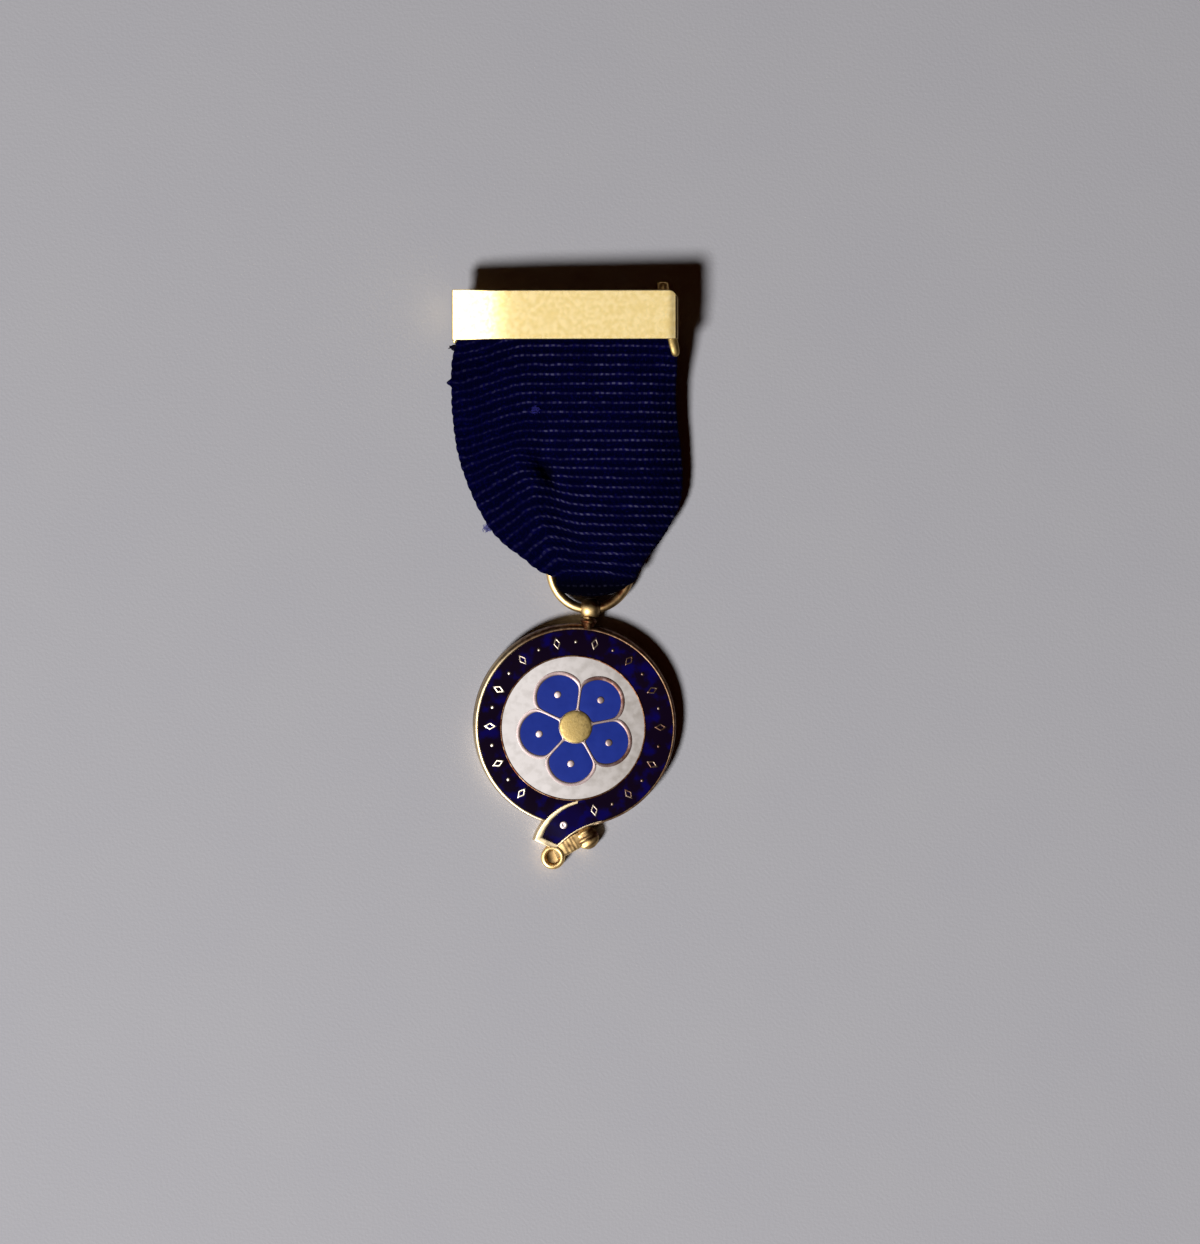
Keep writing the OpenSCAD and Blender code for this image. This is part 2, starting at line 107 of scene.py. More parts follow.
lamp("key_lamp", (view_x, view_y, 0), LAMP_FROM, LAMP_FAR, LAMP_WIDE, LAMP_WATTS, LAMP_WHITE)
room = bpy.data.worlds.new("room")
room.use_nodes = True
room_nodes = room.node_tree.nodes
warm = room_nodes["Background"]
warm.inputs["Color"].default_value = ROOM_WARM
warm.inputs["Strength"].default_value = ROOM_STRENGTH
backdrop = room_nodes.new("ShaderNodeBackground")
backdrop.inputs["Color"].default_value = ROOM_PALE
rays, seen = room_nodes.new("ShaderNodeLightPath"), room_nodes.new("ShaderNodeMixShader")
for out_socket, in_socket in ((rays.outputs["Is Camera Ray"], seen.inputs[0]),
                              (warm.outputs[0], seen.inputs[1]), (backdrop.outputs[0], seen.inputs[2]),
                              (seen.outputs[0], room_nodes["World Output"].inputs["Surface"])):
    room.node_tree.links.new(out_socket, in_socket)
bpy.context.scene.world = room
bpy.context.scene.view_settings.view_transform = "Standard"

# %% [markdown]
# ## Tools for surfaces
# Every part below is a grid of points. A row of the grid is a closed loop of points, such as a section of
# a wire, and the rows follow each other along the part. Neighbouring rows are joined by quads. Where the
# rows themselves close, as on a ring, the last row joins the first. Where they don't, a fan of triangles
# closes each end.

# %% Grids into meshes
def skin(grid, wrap=False):
    """Quads between neighbouring rows. An open end closes with a fan to its middle: each triangle joins
    two neighbours of the end row to the row's mean. Returns points, quads and triangles."""
    rows, cols = grid.shape[:2]
    index = np.arange(rows * cols).reshape(rows, cols)
    low = index if wrap else index[:-1]
    high = np.roll(index, -1, axis=0) if wrap else index[1:]
    quads = np.stack([low, np.roll(low, -1, 1), np.roll(high, -1, 1), high], -1).reshape(-1, 4)
    points, fans = grid.reshape(-1, 3), np.zeros((0, 3), int)
    if not wrap:
        points = np.vstack([points, grid[[0, -1]].mean(axis=1)])
        first, last = rows * cols, rows * cols + 1
        fans = np.vstack([
            np.stack([np.full(cols, first), np.roll(index[0], -1), index[0]], -1),
            np.stack([np.full(cols, last), index[-1], np.roll(index[-1], -1)], -1)])
    return points, quads, fans


def volume(points, quads, fans):
    """Signed volume: a sixth of the sum of all triangles' triple products, positive if they face out."""
    tris = np.vstack([quads[:, [0, 1, 2]], quads[:, [0, 2, 3]], fans])
    a, b, c = (points[tris[:, k]] for k in range(3))
    return float(np.einsum("ij,ij->i", a, np.cross(b, c)).sum() / 6)


def make(name, shells, material, smooth_under=50.0):
    """Joins closed shells, given in mm, into one mesh object at the origin, each turned to face out."""
    points, faces, start, total = [], [], 0, 0.0
    for shell_points, quads, fans in shells:
        size = volume(shell_points, quads, fans)
        if size < 0:
            quads, fans = quads[:, ::-1], fans[:, ::-1]
        points.append(shell_points)
        faces += (quads + start).tolist() + (fans + start).tolist()
        start, total = start + len(shell_points), total + abs(size)
    mesh = bpy.data.meshes.new(name)
    mesh.from_pydata((np.vstack(points) * MM).tolist(), [], faces)
    mesh.shade_smooth()
    mesh.set_sharp_from_angle(angle=np.radians(smooth_under))
    mesh.materials.append(material)
    made = bpy.data.objects.new(name, mesh)
    bpy.context.scene.collection.objects.link(made)
    print(f"{name}: {len(shells)} shells, {len(faces)} faces, {total:.1f} mm3")
    return made


def dress(piece, slot, *nodes):
    """Says that the piece rides on the badge and stands for CAD nodes, whose parts it hides. The slot is
    not used.
    """
    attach(piece, "root")
    if nodes:
        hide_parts(*nodes)
    return piece


# %% [markdown]
# Three ways to make such a grid cover most of the badge. A turned part is a profile spun about an axis,
# as on a lathe. A carried part is a flat section carried along two rails, as a raised gilt line is. A
# tube is an oval carried along a path in space, as wire is.

# %% Turned, carried and tubular grids
def turned(profile, around=96):
    """Spins a profile of (radius, height) about Z: x = r cos a, y = r sin a, z = height."""
    profile = np.asarray(profile, float)
    a = np.linspace(0, 2 * np.pi, around, endpoint=False)
    r, z = profile[:, :1], profile[:, 1:]
    return np.stack([r * np.cos(a), r * np.sin(a), z + 0 * a], -1)


def moved(grid, x=0.0, y=0.0, z=0.0):
    """The grid, shifted."""
    return grid + np.array([x, y, z])


def laid(grid, axis):
    """The grid with its Z axis laid along X or Y, by swapping coordinates."""
    return grid[..., [2, 1, 0]] if axis == "X" else grid[..., [0, 2, 1]]


def unit(vectors):
    """Each vector, divided by its length."""
    return vectors / np.linalg.norm(vectors, axis=-1, keepdims=True)


def carried(rail_a, rail_b, section, lift=0.0):
    """A section of (share, offset, height) between two rails in the plane: the point goes the share of
    the way from rail a to rail b, then the offset in that direction, and up to the height."""
    rail_a, rail_b, section = (np.asarray(v, float) for v in (rail_a, rail_b, section))
    across = rail_b - rail_a
    share, offset, height = section.T
    flat = rail_a[:, None] + across[:, None] * share[:, None] + unit(across)[:, None] * offset[:, None]
    up = height[None, :] + np.zeros((len(rail_a), 1)) + np.reshape(lift, (-1, 1))
    return np.concatenate([flat, up[..., None]], -1)


def raised(foot, top, far_foot=None):
    """A section for `carried` without offsets: from a foot, over points of (share, height), and down."""
    return [[0, 0, foot], *([share, 0, height] for share, height in top), [1, 0, far_foot or foot]]


def tube(path, wide, high, around=12):
    """An oval carried along a path: path + side * wide * cos a + up * high * sin a."""
    path = np.asarray(path, float)
    along = unit(np.gradient(path, axis=0))
    side = unit(np.cross([0.0, 0.0, 1.0], along))
    up = np.cross(along, side)
    a = np.linspace(0, 2 * np.pi, around, endpoint=False)
    wide, high = (np.broadcast_to(v, len(path))[:, None, None] for v in (wide, high))
    return (path[:, None] + side[:, None] * wide * np.cos(a)[:, None]
            + up[:, None] * high * np.sin(a)[:, None])


def arc(centre, radius, from_deg, to_deg, count):
    """Points on a circle: centre + radius (cos a, sin a)."""
    a = np.radians(np.linspace(from_deg, to_deg, count))
    return np.asarray(centre) + radius * np.stack([np.cos(a), np.sin(a)], -1)


def ease(t):
    """A smooth step from 0 to 1: 3 t squared less 2 t cubed."""
    t = np.clip(t, 0, 1)
    return t * t * (3 - 2 * t)


# %% [markdown]
# ## Tools for finishes
# A finish is a Principled shader. Plain numbers go straight to its sockets. What varies over the surface
# comes from noise on Object coordinates, which are metres here, so a scale is one over the size of a
# spot.

# %% Finish helpers
# A Mix node has sockets for numbers, vectors and colours. These are the places of the colours.
MIX_A, MIX_B, MIX_OUT = 6, 7, 2


class Finish:
    """A Principled material with short ways to add spots and grain."""

    def __init__(self, name, colour, roughness, **sockets):
        self.material = bpy.data.materials.new(name)
        self.material.use_nodes = True
        self.nodes = self.material.node_tree.nodes
        self.links = self.material.node_tree.links
        self.shader = self.nodes["Principled BSDF"]
        self.shader.inputs["Base Color"].default_value = (*colour, 1.0)
        self.shader.inputs["Roughness"].default_value = roughness
        for socket, value in sockets.items():
            self.shader.inputs[socket.replace("_", " ")].default_value = value
        self.place = self.nodes.new("ShaderNodeTexCoord").outputs["Object"]
        self.bumped = None

    def noise(self, size_mm, detail):
        """Noise between 0 and 1 whose spots are about size_mm wide, with that many finer layers on top."""
        texture = self.nodes.new("ShaderNodeTexNoise")
        texture.inputs["Scale"].default_value = 1.0 / (size_mm * MM)
        texture.inputs["Detail"].default_value = detail
        self.links.new(self.place, texture.inputs["Vector"])
        return texture.outputs["Fac"]

    def coordinates(self, vector=None):
        """The three parts of a vector, or of the place on the piece."""
        node = self.nodes.new("ShaderNodeSeparateXYZ")
        self.links.new(vector or self.place, node.inputs[0])
        return node.outputs

    def stored(self, name):
        """What the points of the piece keep under a name."""
        node = self.nodes.new("ShaderNodeAttribute")
        node.attribute_name = name
        return node.outputs

    def math(self, operation, a, b=0.0, c=0.0):
        """One Math node; each input is a number or another node's output."""
        node = self.nodes.new("ShaderNodeMath")
        node.operation = operation
        for socket, value in zip(node.inputs, (a, b, c)):
            if isinstance(value, (int, float)):
                socket.default_value = value
            else:
                self.links.new(value, socket)
        return node.outputs[0]

    def ramp(self, value, low, high, to_low=0.0, to_high=1.0):
        """Smoothly maps value from low..high to to_low..to_high."""
        node = self.nodes.new("ShaderNodeMapRange")
        node.interpolation_type = "SMOOTHSTEP"
        for key, number in zip(("From Min", "From Max", "To Min", "To Max"), (low, high, to_low, to_high)):
            node.inputs[key].default_value = number
        self.links.new(value, node.inputs["Value"])
        return node.outputs["Result"]

    def spots(self, size_mm, detail, *ramp):
        """Noise, mapped by a ramp."""
        return self.ramp(self.noise(size_mm, detail), *ramp)

    def blend(self, share, a, b):
        """Mixes two colours, each a triple or an output, by a share."""
        node = self.nodes.new("ShaderNodeMix")
        node.data_type = "RGBA"
        self.links.new(share, node.inputs["Factor"])
        for socket, colour in zip((node.inputs[MIX_A], node.inputs[MIX_B]), (a, b)):
            if isinstance(colour, tuple):
                socket.default_value = (*colour, 1.0)
            else:
                self.links.new(colour, socket)
        return node.outputs[MIX_OUT]

    def far_from(self, point):
        """Distance in metres from a point."""
        node = self.nodes.new("ShaderNodeVectorMath")
        node.operation = "DISTANCE"
        node.inputs[1].default_value = point
        self.links.new(self.place, node.inputs[0])
        return node.outputs["Value"]

    def times(self, *values):
        """The product of numbers or outputs."""
        product = values[0]
        for value in values[1:]:
            product = self.math("MULTIPLY", product, value)
        return product

    def colour(self, output):
        """Gives the shader its colour."""
        self.links.new(output, self.shader.inputs["Base Color"])

    def roughness(self, output):
        """Gives the shader its roughness."""
        self.links.new(output, self.shader.inputs["Roughness"])

    def bump(self, height, depth_mm):
        """Adds a bump of that depth on top of earlier ones."""
        node = self.nodes.new("ShaderNodeBump")
        node.inputs["Distance"].default_value = depth_mm * MM
        self.links.new(height, node.inputs["Height"])
        if self.bumped:
            self.links.new(self.bumped, node.inputs["Normal"])
        self.bumped = node.outputs["Normal"]
        self.links.new(self.bumped, self.shader.inputs["Normal"])

    def grain(self, size_mm, detail, depth_mm):
        """A bump made of noise."""
        self.bump(self.noise(size_mm, detail), depth_mm)


# %% [markdown]
# ## The table
# The badge lies on pale grey paper. It is a plain plane with a very faint grain, and isn't part of the
# badge, so it is staged. It lies a hundredth of a millimetre low, to keep clear of the badge's back.

# %% Paper
PAPER_HALF, PAPER_Z = 0.6, -0.00001
paper = Finish("pale_paper", (0.55, 0.55, 0.585), 0.9, Specular_IOR_Level=0.15)
paper.colour(paper.blend(paper.noise(14.0, 6.0), (0.545, 0.545, 0.585), (0.575, 0.575, 0.60)))
paper.grain(0.35, 6.0, 0.03)
table_mesh = bpy.data.meshes.new("table")
corners = [(x * PAPER_HALF, y * PAPER_HALF, 0) for x, y in ((-1, -1), (1, -1), (1, 1), (-1, 1))]
table_mesh.from_pydata(corners, [], [(0, 1, 2, 3)])
table_mesh.materials.append(paper.material)
table = bpy.data.objects.new("table", table_mesh)
table.location.z = PAPER_Z
bpy.context.scene.collection.objects.link(table)

# %% [markdown]
# ## Gilt
# The metal is gilded brass, and one kind of finish covers all of it: two tones mixed by spots of noise, a
# fine grain, and on most of it a shine that wanders. The bar is satin, pale and slightly mottled, and
# still shiny enough to mirror its lamps. The ring, bead and buckle were polished by hand and are deeper
# in colour, but handling has dulled them, so their highlights are broad. The medal's own gilt is
# creamier, and paler still on raised motifs. The fire reddened the lines beside the enamel, the boss was
# left sandy, and the pin is worn. A brown is blended in where each point keeps a share of it, with a
# ragged edge. It is mostly painted shade, on what faces away from the lamps or lies in shade, and some
# parts, such as the thin inner line, are simply darkened.

# %% Gilt finishes
# Brown for tarnishing, and for painted shade on the gilt
TARNISH_AND_SHADE = (0.085, 0.026, 0.011)


def tarnish(piece, share):
    """Keeps on each point its share of brown, from 0 to 1, for tarnishing and painted shade: share is a
    function of x, y, z in mm.
    """
    co = np.empty(3 * len(piece.data.vertices), np.float32)
    piece.data.vertices.foreach_get("co", co)
    amount = np.clip(share(*(co.reshape(-1, 3).T / MM)), 0, 1).astype(np.float32)
    piece.data.attributes.new("tarnish", "FLOAT", "POINT").data.foreach_set("value", amount)


def with_tarnish_and_shade(finish, bare):
    """The bare colour, blended to the brown of tarnishing and painted shade where the points say so, with
    a ragged edge from noise.
    """
    rag = finish.spots(0.6, 3.0, 0.3, 0.6, 0.85, 1.0)
    return finish.blend(finish.times(finish.stored("tarnish")["Fac"], rag), bare, TARNISH_AND_SHADE)


def gilt(name, plain, spots, tones, grain, shine=None, sharp=None, shaded_and_tarnished=True):
    """A gilt finish: plain colour and roughness, two tones mixed by spots of a size and detail, a grain of
    a size, detail and depth, and, where given, a shine that wanders: its size, detail, least and most
    roughness. Sharp says between which two values of the noise one tone turns into the other."""
    finish = Finish(name, *plain, Metallic=1.0)
    share = finish.noise(*spots)
    if sharp:
        share = finish.ramp(share, *sharp)
    bare = finish.blend(share, *tones)
    finish.colour(with_tarnish_and_shade(finish, bare) if shaded_and_tarnished else bare)
    if shine:
        size, detail, least, most = shine
        finish.roughness(finish.spots(size, detail, 0.3, 0.7, least, most))
    finish.grain(*grain)
    return finish


satin = gilt("satin_gilt", ((0.96, 0.76, 0.36), 0.19), (0.55, 5.0),
             ((0.90, 0.69, 0.29), (0.98, 0.79, 0.40)), (0.45, 2.0, 0.0015), shine=(0.7, 3.0, 0.17, 0.21),
             sharp=(0.33, 0.67))
polished = gilt("polished_gilt", ((0.90, 0.66, 0.28), 0.44), (1.6, 4.0),
                ((0.84, 0.54, 0.20), (0.95, 0.74, 0.38)), (0.3, 3.0, 0.003), shine=(0.7, 4.0, 0.38, 0.50))
cream = gilt("cream_gilt", ((0.92, 0.77, 0.48), 0.42), (1.2, 4.0),
             ((0.87, 0.66, 0.38), (0.95, 0.82, 0.55)), (0.3, 3.0, 0.003), shine=(0.7, 4.0, 0.37, 0.48))
pale = gilt("pale_gilt", ((0.96, 0.88, 0.72), 0.40), (0.5, 3.0), ((0.94, 0.84, 0.66), (0.98, 0.92, 0.80)),
            (0.3, 2.0, 0.003))
rosy = gilt("rosy_gilt", ((0.80, 0.62, 0.56), 0.45), (0.3, 2.0), ((0.79, 0.61, 0.60), (0.90, 0.78, 0.81)),
            (0.3, 2.0, 0.003))
sandy = gilt("sandy_gilt", ((0.88, 0.66, 0.30), 0.45), (0.35, 4.0),
             ((0.43, 0.30, 0.10), (0.51, 0.385, 0.165)), (0.2, 3.0, 0.008), shine=(0.4, 3.0, 0.42, 0.58),
             shaded_and_tarnished=False)
worn = gilt("worn_gilt", ((0.72, 0.50, 0.22), 0.38), (1.2, 5.0), ((0.80, 0.47, 0.13), (0.98, 0.68, 0.28)),
            (0.15, 3.0, 0.006), shine=(0.6, 4.0, 0.30, 0.48), shaded_and_tarnished=False)
gilts = (satin, polished, cream, pale, rosy, sandy, worn)
print("gilt finishes:", [finish.material.name for finish in gilts])

# %% [markdown]
# ## The brooch bar
# The bar is one strip of sheet brass, bent over at both ends to hold the ribbon. It is made as the
# metalworker makes it: a path for the bends, seen from the edge of the strip, and a flat section with
# rounded edges carried along it. The strip slopes a little to the left, and its left quarter is bent down
# a little more. That quarter is what turns white, because it faces the lamp.

# %% Bent sheet metal
def bent_strip(path, thick, low, high, corner=0.15, across=12):
    """A strip bent along a path of (x, z), from y = low to y = high: each point of the path gets a
    rounded rectangle, thick across the path, whose corners are quarter circles."""
    path = np.asarray(path, float)
    along = unit(np.gradient(path, axis=0))
    out = np.stack([-along[:, 1], along[:, 0]], -1)
    q = np.radians([0, 30, 60, 90])
    s, c, h = corner * np.sin(q), corner * np.cos(q), thick / 2
    flat = np.array([0.004, *np.linspace(0, 1, across)[1:-1], 0.996])
    share = np.concatenate([flat, np.ones(8), flat[::-1], np.zeros(8)])
    side = np.concatenate([0 * flat, s, c, 0 * flat, -s, -c])
    up = np.concatenate([h + 0 * flat, h - corner + c, corner - h - s, 0 * flat - h,
                         corner - h - c, h - corner + s])
    low, high = (np.broadcast_to(v, len(path))[:, None] for v in (low, high))
    y = low + corner + (high - low - 2 * corner) * share + side
    return np.stack([path[:, :1] + out[:, :1] * up, y, path[:, 1:] + out[:, 1:] * up], -1)


# %% Bar
BAR_TOP, BAR_THICK = 5.8, 0.3
BAR_LOW, BAR_HIGH = 44.55, 50.14
SLOPE, SLOPE_FROM, BEND, BEND_AT, BEND_SOFT = 0.031, 11.5, 0.09, -8.8, 1.0
BACK_LEVEL = 2.3
END_R, LEFT_END, RIGHT_END = 0.16, -14.05, 11.63
CORNER_FROM, CORNER_W, CORNER_DROP = 10.78, 0.86, 1.1
# The tongues. Columns: x, y, z, half the width, half the height
LEFT_TONGUE = np.array([
    [-13.6, 45.1, 4.25, 0.32, 0.25], [-13.74, 44.65, 4.25, 0.3, 0.25], [-13.86, 44.25, 4.2, 0.24, 0.22],
    [-13.88, 44.08, 4.18, 0.1, 0.1]])
RIGHT_TONGUE = np.array([
    [11.05, 45.2, 5.2, 0.5, 0.28], [11.12, 44.6, 5.25, 0.54, 0.28], [11.28, 43.9, 5.2, 0.54, 0.28],
    [11.42, 43.3, 5.1, 0.5, 0.28], [11.48, 42.95, 4.98, 0.46, 0.26], [11.49, 42.75, 4.86, 0.38, 0.22],
    [11.49, 42.6, 4.72, 0.15, 0.1]])


def tongue(rows, around=12):
    """A tube through a tongue's rows."""
    return tube(rows[:, :3], rows[:, 3], rows[:, 4], around)


def pressed(x):
    """How far the bar is below its highest level: a slope, and left of BEND_AT a second one, which comes
    in as soft * log(1 + exp(distance / soft)), a ramp with a rounded start."""
    bend = BEND * BEND_SOFT * np.logaddexp(0, (BEND_AT - x) / BEND_SOFT)
    return SLOPE * np.clip(SLOPE_FROM - x, 0, None) + bend


bar_x = np.concatenate([[-13.86], np.linspace(-13.8, 11.38, 130), [11.44]])
bar_z = BAR_TOP - BAR_THICK / 2 - pressed(bar_x) - 0.04 * ease((bar_x - 10.7) / 0.8)
bar_path = np.concatenate([
    [[LEFT_END, 3.6], [LEFT_END, 3.95]],
    arc((LEFT_END + END_R, bar_z[0] - END_R), END_R, 176, 100, 6),
    np.stack([bar_x, bar_z], -1),
    arc((RIGHT_END - END_R, bar_z[-1] - END_R), END_R, 80, 4, 7),
    [[RIGHT_END, 4.9], [RIGHT_END, 3.4], [RIGHT_END, BACK_LEVEL]]])
rounding = np.clip((bar_path[:, 0] - CORNER_FROM) / CORNER_W, 0, 1)
spread = ease((-9 - bar_path[:, 0]) / 4)
bar_low = BAR_LOW - 0.08 * spread
bar_high = BAR_HIGH + 0.12 * spread - CORNER_DROP * (1 - np.sqrt(1 - rounding ** 2))
left_return = [[-13.85, 4.2], [-13.9, 3.6], [-13.88, 3.0], [-13.85, BACK_LEVEL]]
bar_shells = [skin(bent_strip(bar_path, BAR_THICK, bar_low, bar_high, corner=0.06)),
              skin(bent_strip(left_return, 0.55, 45.4, 48.3)), skin(tongue(LEFT_TONGUE))]
bar = dress(make("bar_front", bar_shells, satin.material), "satin_gilt", "brooch_plate")
# Painted shade: the bar's right wall, which faces away from the lamp, is browned, and the right end a
# little.
tarnish(bar, lambda x, y, z: 0.35 * ease((x - 10.4) / 1.1) + 0.4 * ease((x - 11.5) / 0.1))

# %% The bar's right tongue
dress(make("bar_tongue", [skin(tongue(RIGHT_TONGUE, 20))], sandy.material), "satin_gilt", "brooch_plate")

# %% [markdown]
# ## The fitting behind the bar
# The picture shows only the hinge's end, which peeps out above the bar, but the badge can be turned over.
# It is the usual pin fitting: a strip that closes the bar, a hinge of three knuckles, a tapered pin and a
# hooked catch. The hinge and the pin are turned, and the rest is bent strip.

# %% Pin fitting
PIN_Y, PIN_Z, HINGE_X = 47.58, 0.95, 10.1
knuckles = [[0.05, 46.0], [0.8, 46.0], [0.93, 46.1], [0.95, 46.2], [0.95, 46.9], [0.86, 47.02],
            [0.86, 47.08], [0.95, 47.2], [0.95, 47.96], [0.86, 48.08], [0.86, 48.14], [0.95, 48.26],
            [0.95, 50.0], [0.85, 50.15], [0.72, 50.2], [0.7, 51.1], [0.62, 51.28], [0.4, 51.35],
            [0.05, 51.36]]
pin = [[0.04, -12.5], [0.12, -12.3], [0.24, -11.7], [0.35, -10.8], [0.42, -9.0], [0.45, -6.0], [0.45, 0.0],
       [0.45, 9.2], [0.3, 9.4], [0.05, 9.42]]
hook = [[48.25, 2.45], [48.42, 2.0], [48.5, 1.5], [48.46, 0.95], [48.25, 0.5], [47.85, 0.26],
        [47.4, 0.24], [47.0, 0.42], [46.85, 0.6]]
# Columns: how thick the strip is, its low and high edge, its corner, and its path in x and z
STRIPS = [
    (0.52, 45.15, 50.01, 0.15, [[x, BACK_LEVEL + 0.26] for x in np.linspace(-13.3, 10.95, 30)]),
    (0.36, 46.1, 46.9, 0.15, [[9.3, 0.9], [9.3, 1.5], [9.3, 2.4]]),
    (0.36, 48.3, 49.9, 0.15, [[9.3, 0.9], [9.3, 1.5], [9.3, 2.4]]),
    (0.24, 45.7, 49.9, 0.08, [[8.4, 2.2], [9.2, 2.2], [10.9, 2.2]]),
    (0.24, 46.1, 49.1, 0.08, [[-12.5, 2.2], [-11.2, 2.2], [-9.9, 2.2]]),
]
fitting_shells = [skin(bent_strip(route, *sizes)) for *sizes, route in STRIPS]
fitting_shells += [
    skin(moved(laid(turned(knuckles, 40), "Y"), x=HINGE_X, z=PIN_Z)),
    skin(moved(laid(turned(pin, 24), "X"), y=PIN_Y, z=PIN_Z)),
    skin(bent_strip(hook, 0.3, -12.0, -10.4, corner=0.1)[..., [1, 0, 2]]),
]
dress(make("pin_fitting", fitting_shells, worn.material), "pin_gilt", "brooch_pin")

# %% [markdown]
# ## The ring, and the bead that holds it
# The ring is wire bent into a circle. It hangs in a drilled bead on the medal's neck and tilts up into
# the ribbon's fold. The wire was bent over a rod by hand, so its circle isn't quite true.

# %% Ring and bead
RING_R, WIRE_R, TILT = 4.62, 0.55, np.radians(6)
BEAD = np.array([1.717, 13.592, 1.32])


def wire_ring(around=144, section=24):
    """A ring of wire in the plane XY: x = (R + r cos b) cos a, y = (R + r cos b) sin a, z = r sin b,
    R a little uneven, then tilted about its lowest point."""
    a = np.linspace(0, 2 * np.pi, around, endpoint=False)[:, None]
    b = np.linspace(0, 2 * np.pi, section, endpoint=False)[None, :]
    big = RING_R + 0.03 * np.sin(3 * a + 1.0) + WIRE_R * (1 + 0.02 * np.sin(5 * a)) * np.cos(b)
    x, y, z = big * np.cos(a), big * np.sin(a) + RING_R, WIRE_R * np.sin(b) + 0 * a
    tilted = np.stack([x, y * np.cos(TILT) - z * np.sin(TILT), y * np.sin(TILT) + z * np.cos(TILT)], -1)
    return tilted + BEAD


def ring_painted_shade(x, y, z):
    """Painted shade: a little all round, more to the right of the bead, away from the lamps, and most on
    the ring's inner side, where the distance from its middle, seen along its tilt, is less than its
    radius."""
    from_middle = np.hypot(x - BEAD[0], (y - BEAD[1]) / np.cos(TILT) - RING_R)
    return 0.22 + 0.46 * ease((x - 1.5) / 1.0) + 0.6 * ease((RING_R + 0.12 - from_middle) / 0.3)


ring = make("ring_wire", [skin(wire_ring(), wrap=True)], polished.material)
tarnish(dress(ring, "gilt", "suspension_ring"), ring_painted_shade)

# %% [markdown]
# ## The medal's own frame
# The medal hangs turned by 7.2 degrees. Its parts are worked out upright, with their middle at the
# origin, and turned at the end. Its face is also a little domed, and it is thicker towards the neck: its
# shadow is widest there. `on_medal` does all three. Eight pieces stand for the same gilt solid, so
# `medal_gilt` makes and dresses each of them, and gives it its share of painted shade and other
# darkening, in one call.

# %% Turn, dome and gilt of the medal
MEDAL_TURN, MEDAL_R, DOME, WEDGE = -7.2, 12.0, 0.12, 0.2


def turned_flat(points, degrees):
    """Points in the plane, turned about the origin."""
    c, s = np.cos(np.radians(degrees)), np.sin(np.radians(degrees))
    return np.asarray(points) @ np.array([[c, s], [-s, c]])


def on_medal(grid, dome=DOME, wedge=WEDGE):
    """Lowers heights by a share dome * (r / R) squared, raises them by up to the share wedge towards the
    top, then turns the grid about Z by the medal's turn."""
    x, y, z = np.moveaxis(np.asarray(grid, float), -1, 0)
    z = z * (1 - dome * (x * x + y * y) / MEDAL_R ** 2) * (1 + wedge * ease(y / MEDAL_R))
    return np.concatenate([turned_flat(np.stack([x, y], -1), MEDAL_TURN), z[..., None]], -1)


def medal_gilt(name, shells, finish, share=None, smooth_under=45.0):
    """A gilt piece of the medal, browned by a function of x, y, z where one is given: painted shade, and
    on some parts plain darkening.
    """
    piece = dress(make(name, shells, finish.material, smooth_under), "gilt", "medal_body")
    if share:
        tarnish(piece, share)


# %% [markdown]
# ## The medal's disc
# The disc was struck between dies: a rim with a rounded shoulder, a sunk channel for the strap's enamel,
# a thin line, and a sunk field for the blossom. It is turned from one profile. Where the strap's loose
# tail crosses the rim, the rim dips under it. Handwork shows in two places: the wall was filed so that it
# leans out at the upper left, and the thin line isn't quite in the middle.

# %% Disc
# The floor of the cells, the foot of what stands in them, and the radii of the thin line and the channel
CELL, FOOT = 1.85, 1.8
RIM_R, LINE_IN, CHANNEL_IN, CHANNEL_OUT = 11.46, 8.2, 8.42, 11.2
TAIL_LEFT, TAIL_RIGHT, TAIL_DIP = -101.5, -69, 0.2
LEAN_TO, BRIGHT_AT = 127.0, 203
INNER_OFF = np.array([-0.263, -0.154])
quarter = np.radians(np.linspace(0, 90, 9))
shoulder = np.stack([RIM_R + 0.54 * np.cos(quarter), 1.25 + 0.95 * np.sin(quarter)], -1)
disc_profile = np.concatenate([
    [[0.2, 0.05], [5.0, 0.05], [10.5, 0.05], [10.8, 0.0], [11.8, 0.0], [11.93, 0.04], [12.0, 0.15],
     [12.0, 0.7]], shoulder,
    [[11.38, 2.21], [11.3, 2.2], [11.24, 2.16], [CHANNEL_OUT, 2.08], [CHANNEL_OUT, CELL], [9.9, CELL],
     [CHANNEL_IN, CELL], [CHANNEL_IN, 2.12], [8.4, 2.17], [8.34, 2.2], [8.28, 2.2], [8.22, 2.17],
     [LINE_IN, 2.12], [LINE_IN, CELL], [4.0, CELL], [0.2, CELL]]])
disc = turned(disc_profile, 240)
angle = np.degrees(np.arctan2(disc[..., 1], disc[..., 0]))
disc_r, disc_z = disc_profile[:, :1], disc_profile[:, 1:]
under_tail = ease((TAIL_RIGHT - angle) / 6) * ease((angle - TAIL_LEFT) / 2.5)
over_rim = (disc_r > 11.1) & (disc_z > 0.8)
disc[..., 2] *= np.where(over_rim, 1 - TAIL_DIP * under_tail, 1.0)
leaning = (RIM_R + (disc_r - RIM_R) * (0.52 + 0.48 * np.cos(np.radians(angle - LEAN_TO)))) / disc_r
disc[..., :2] *= np.where(disc_r > RIM_R, leaning, 1.0)[..., None]
thin_line = (disc_profile[:, 0] > LINE_IN - 0.1) & (disc_profile[:, 0] < CHANNEL_IN + 0.1)
disc[thin_line, :, :2] += INNER_OFF


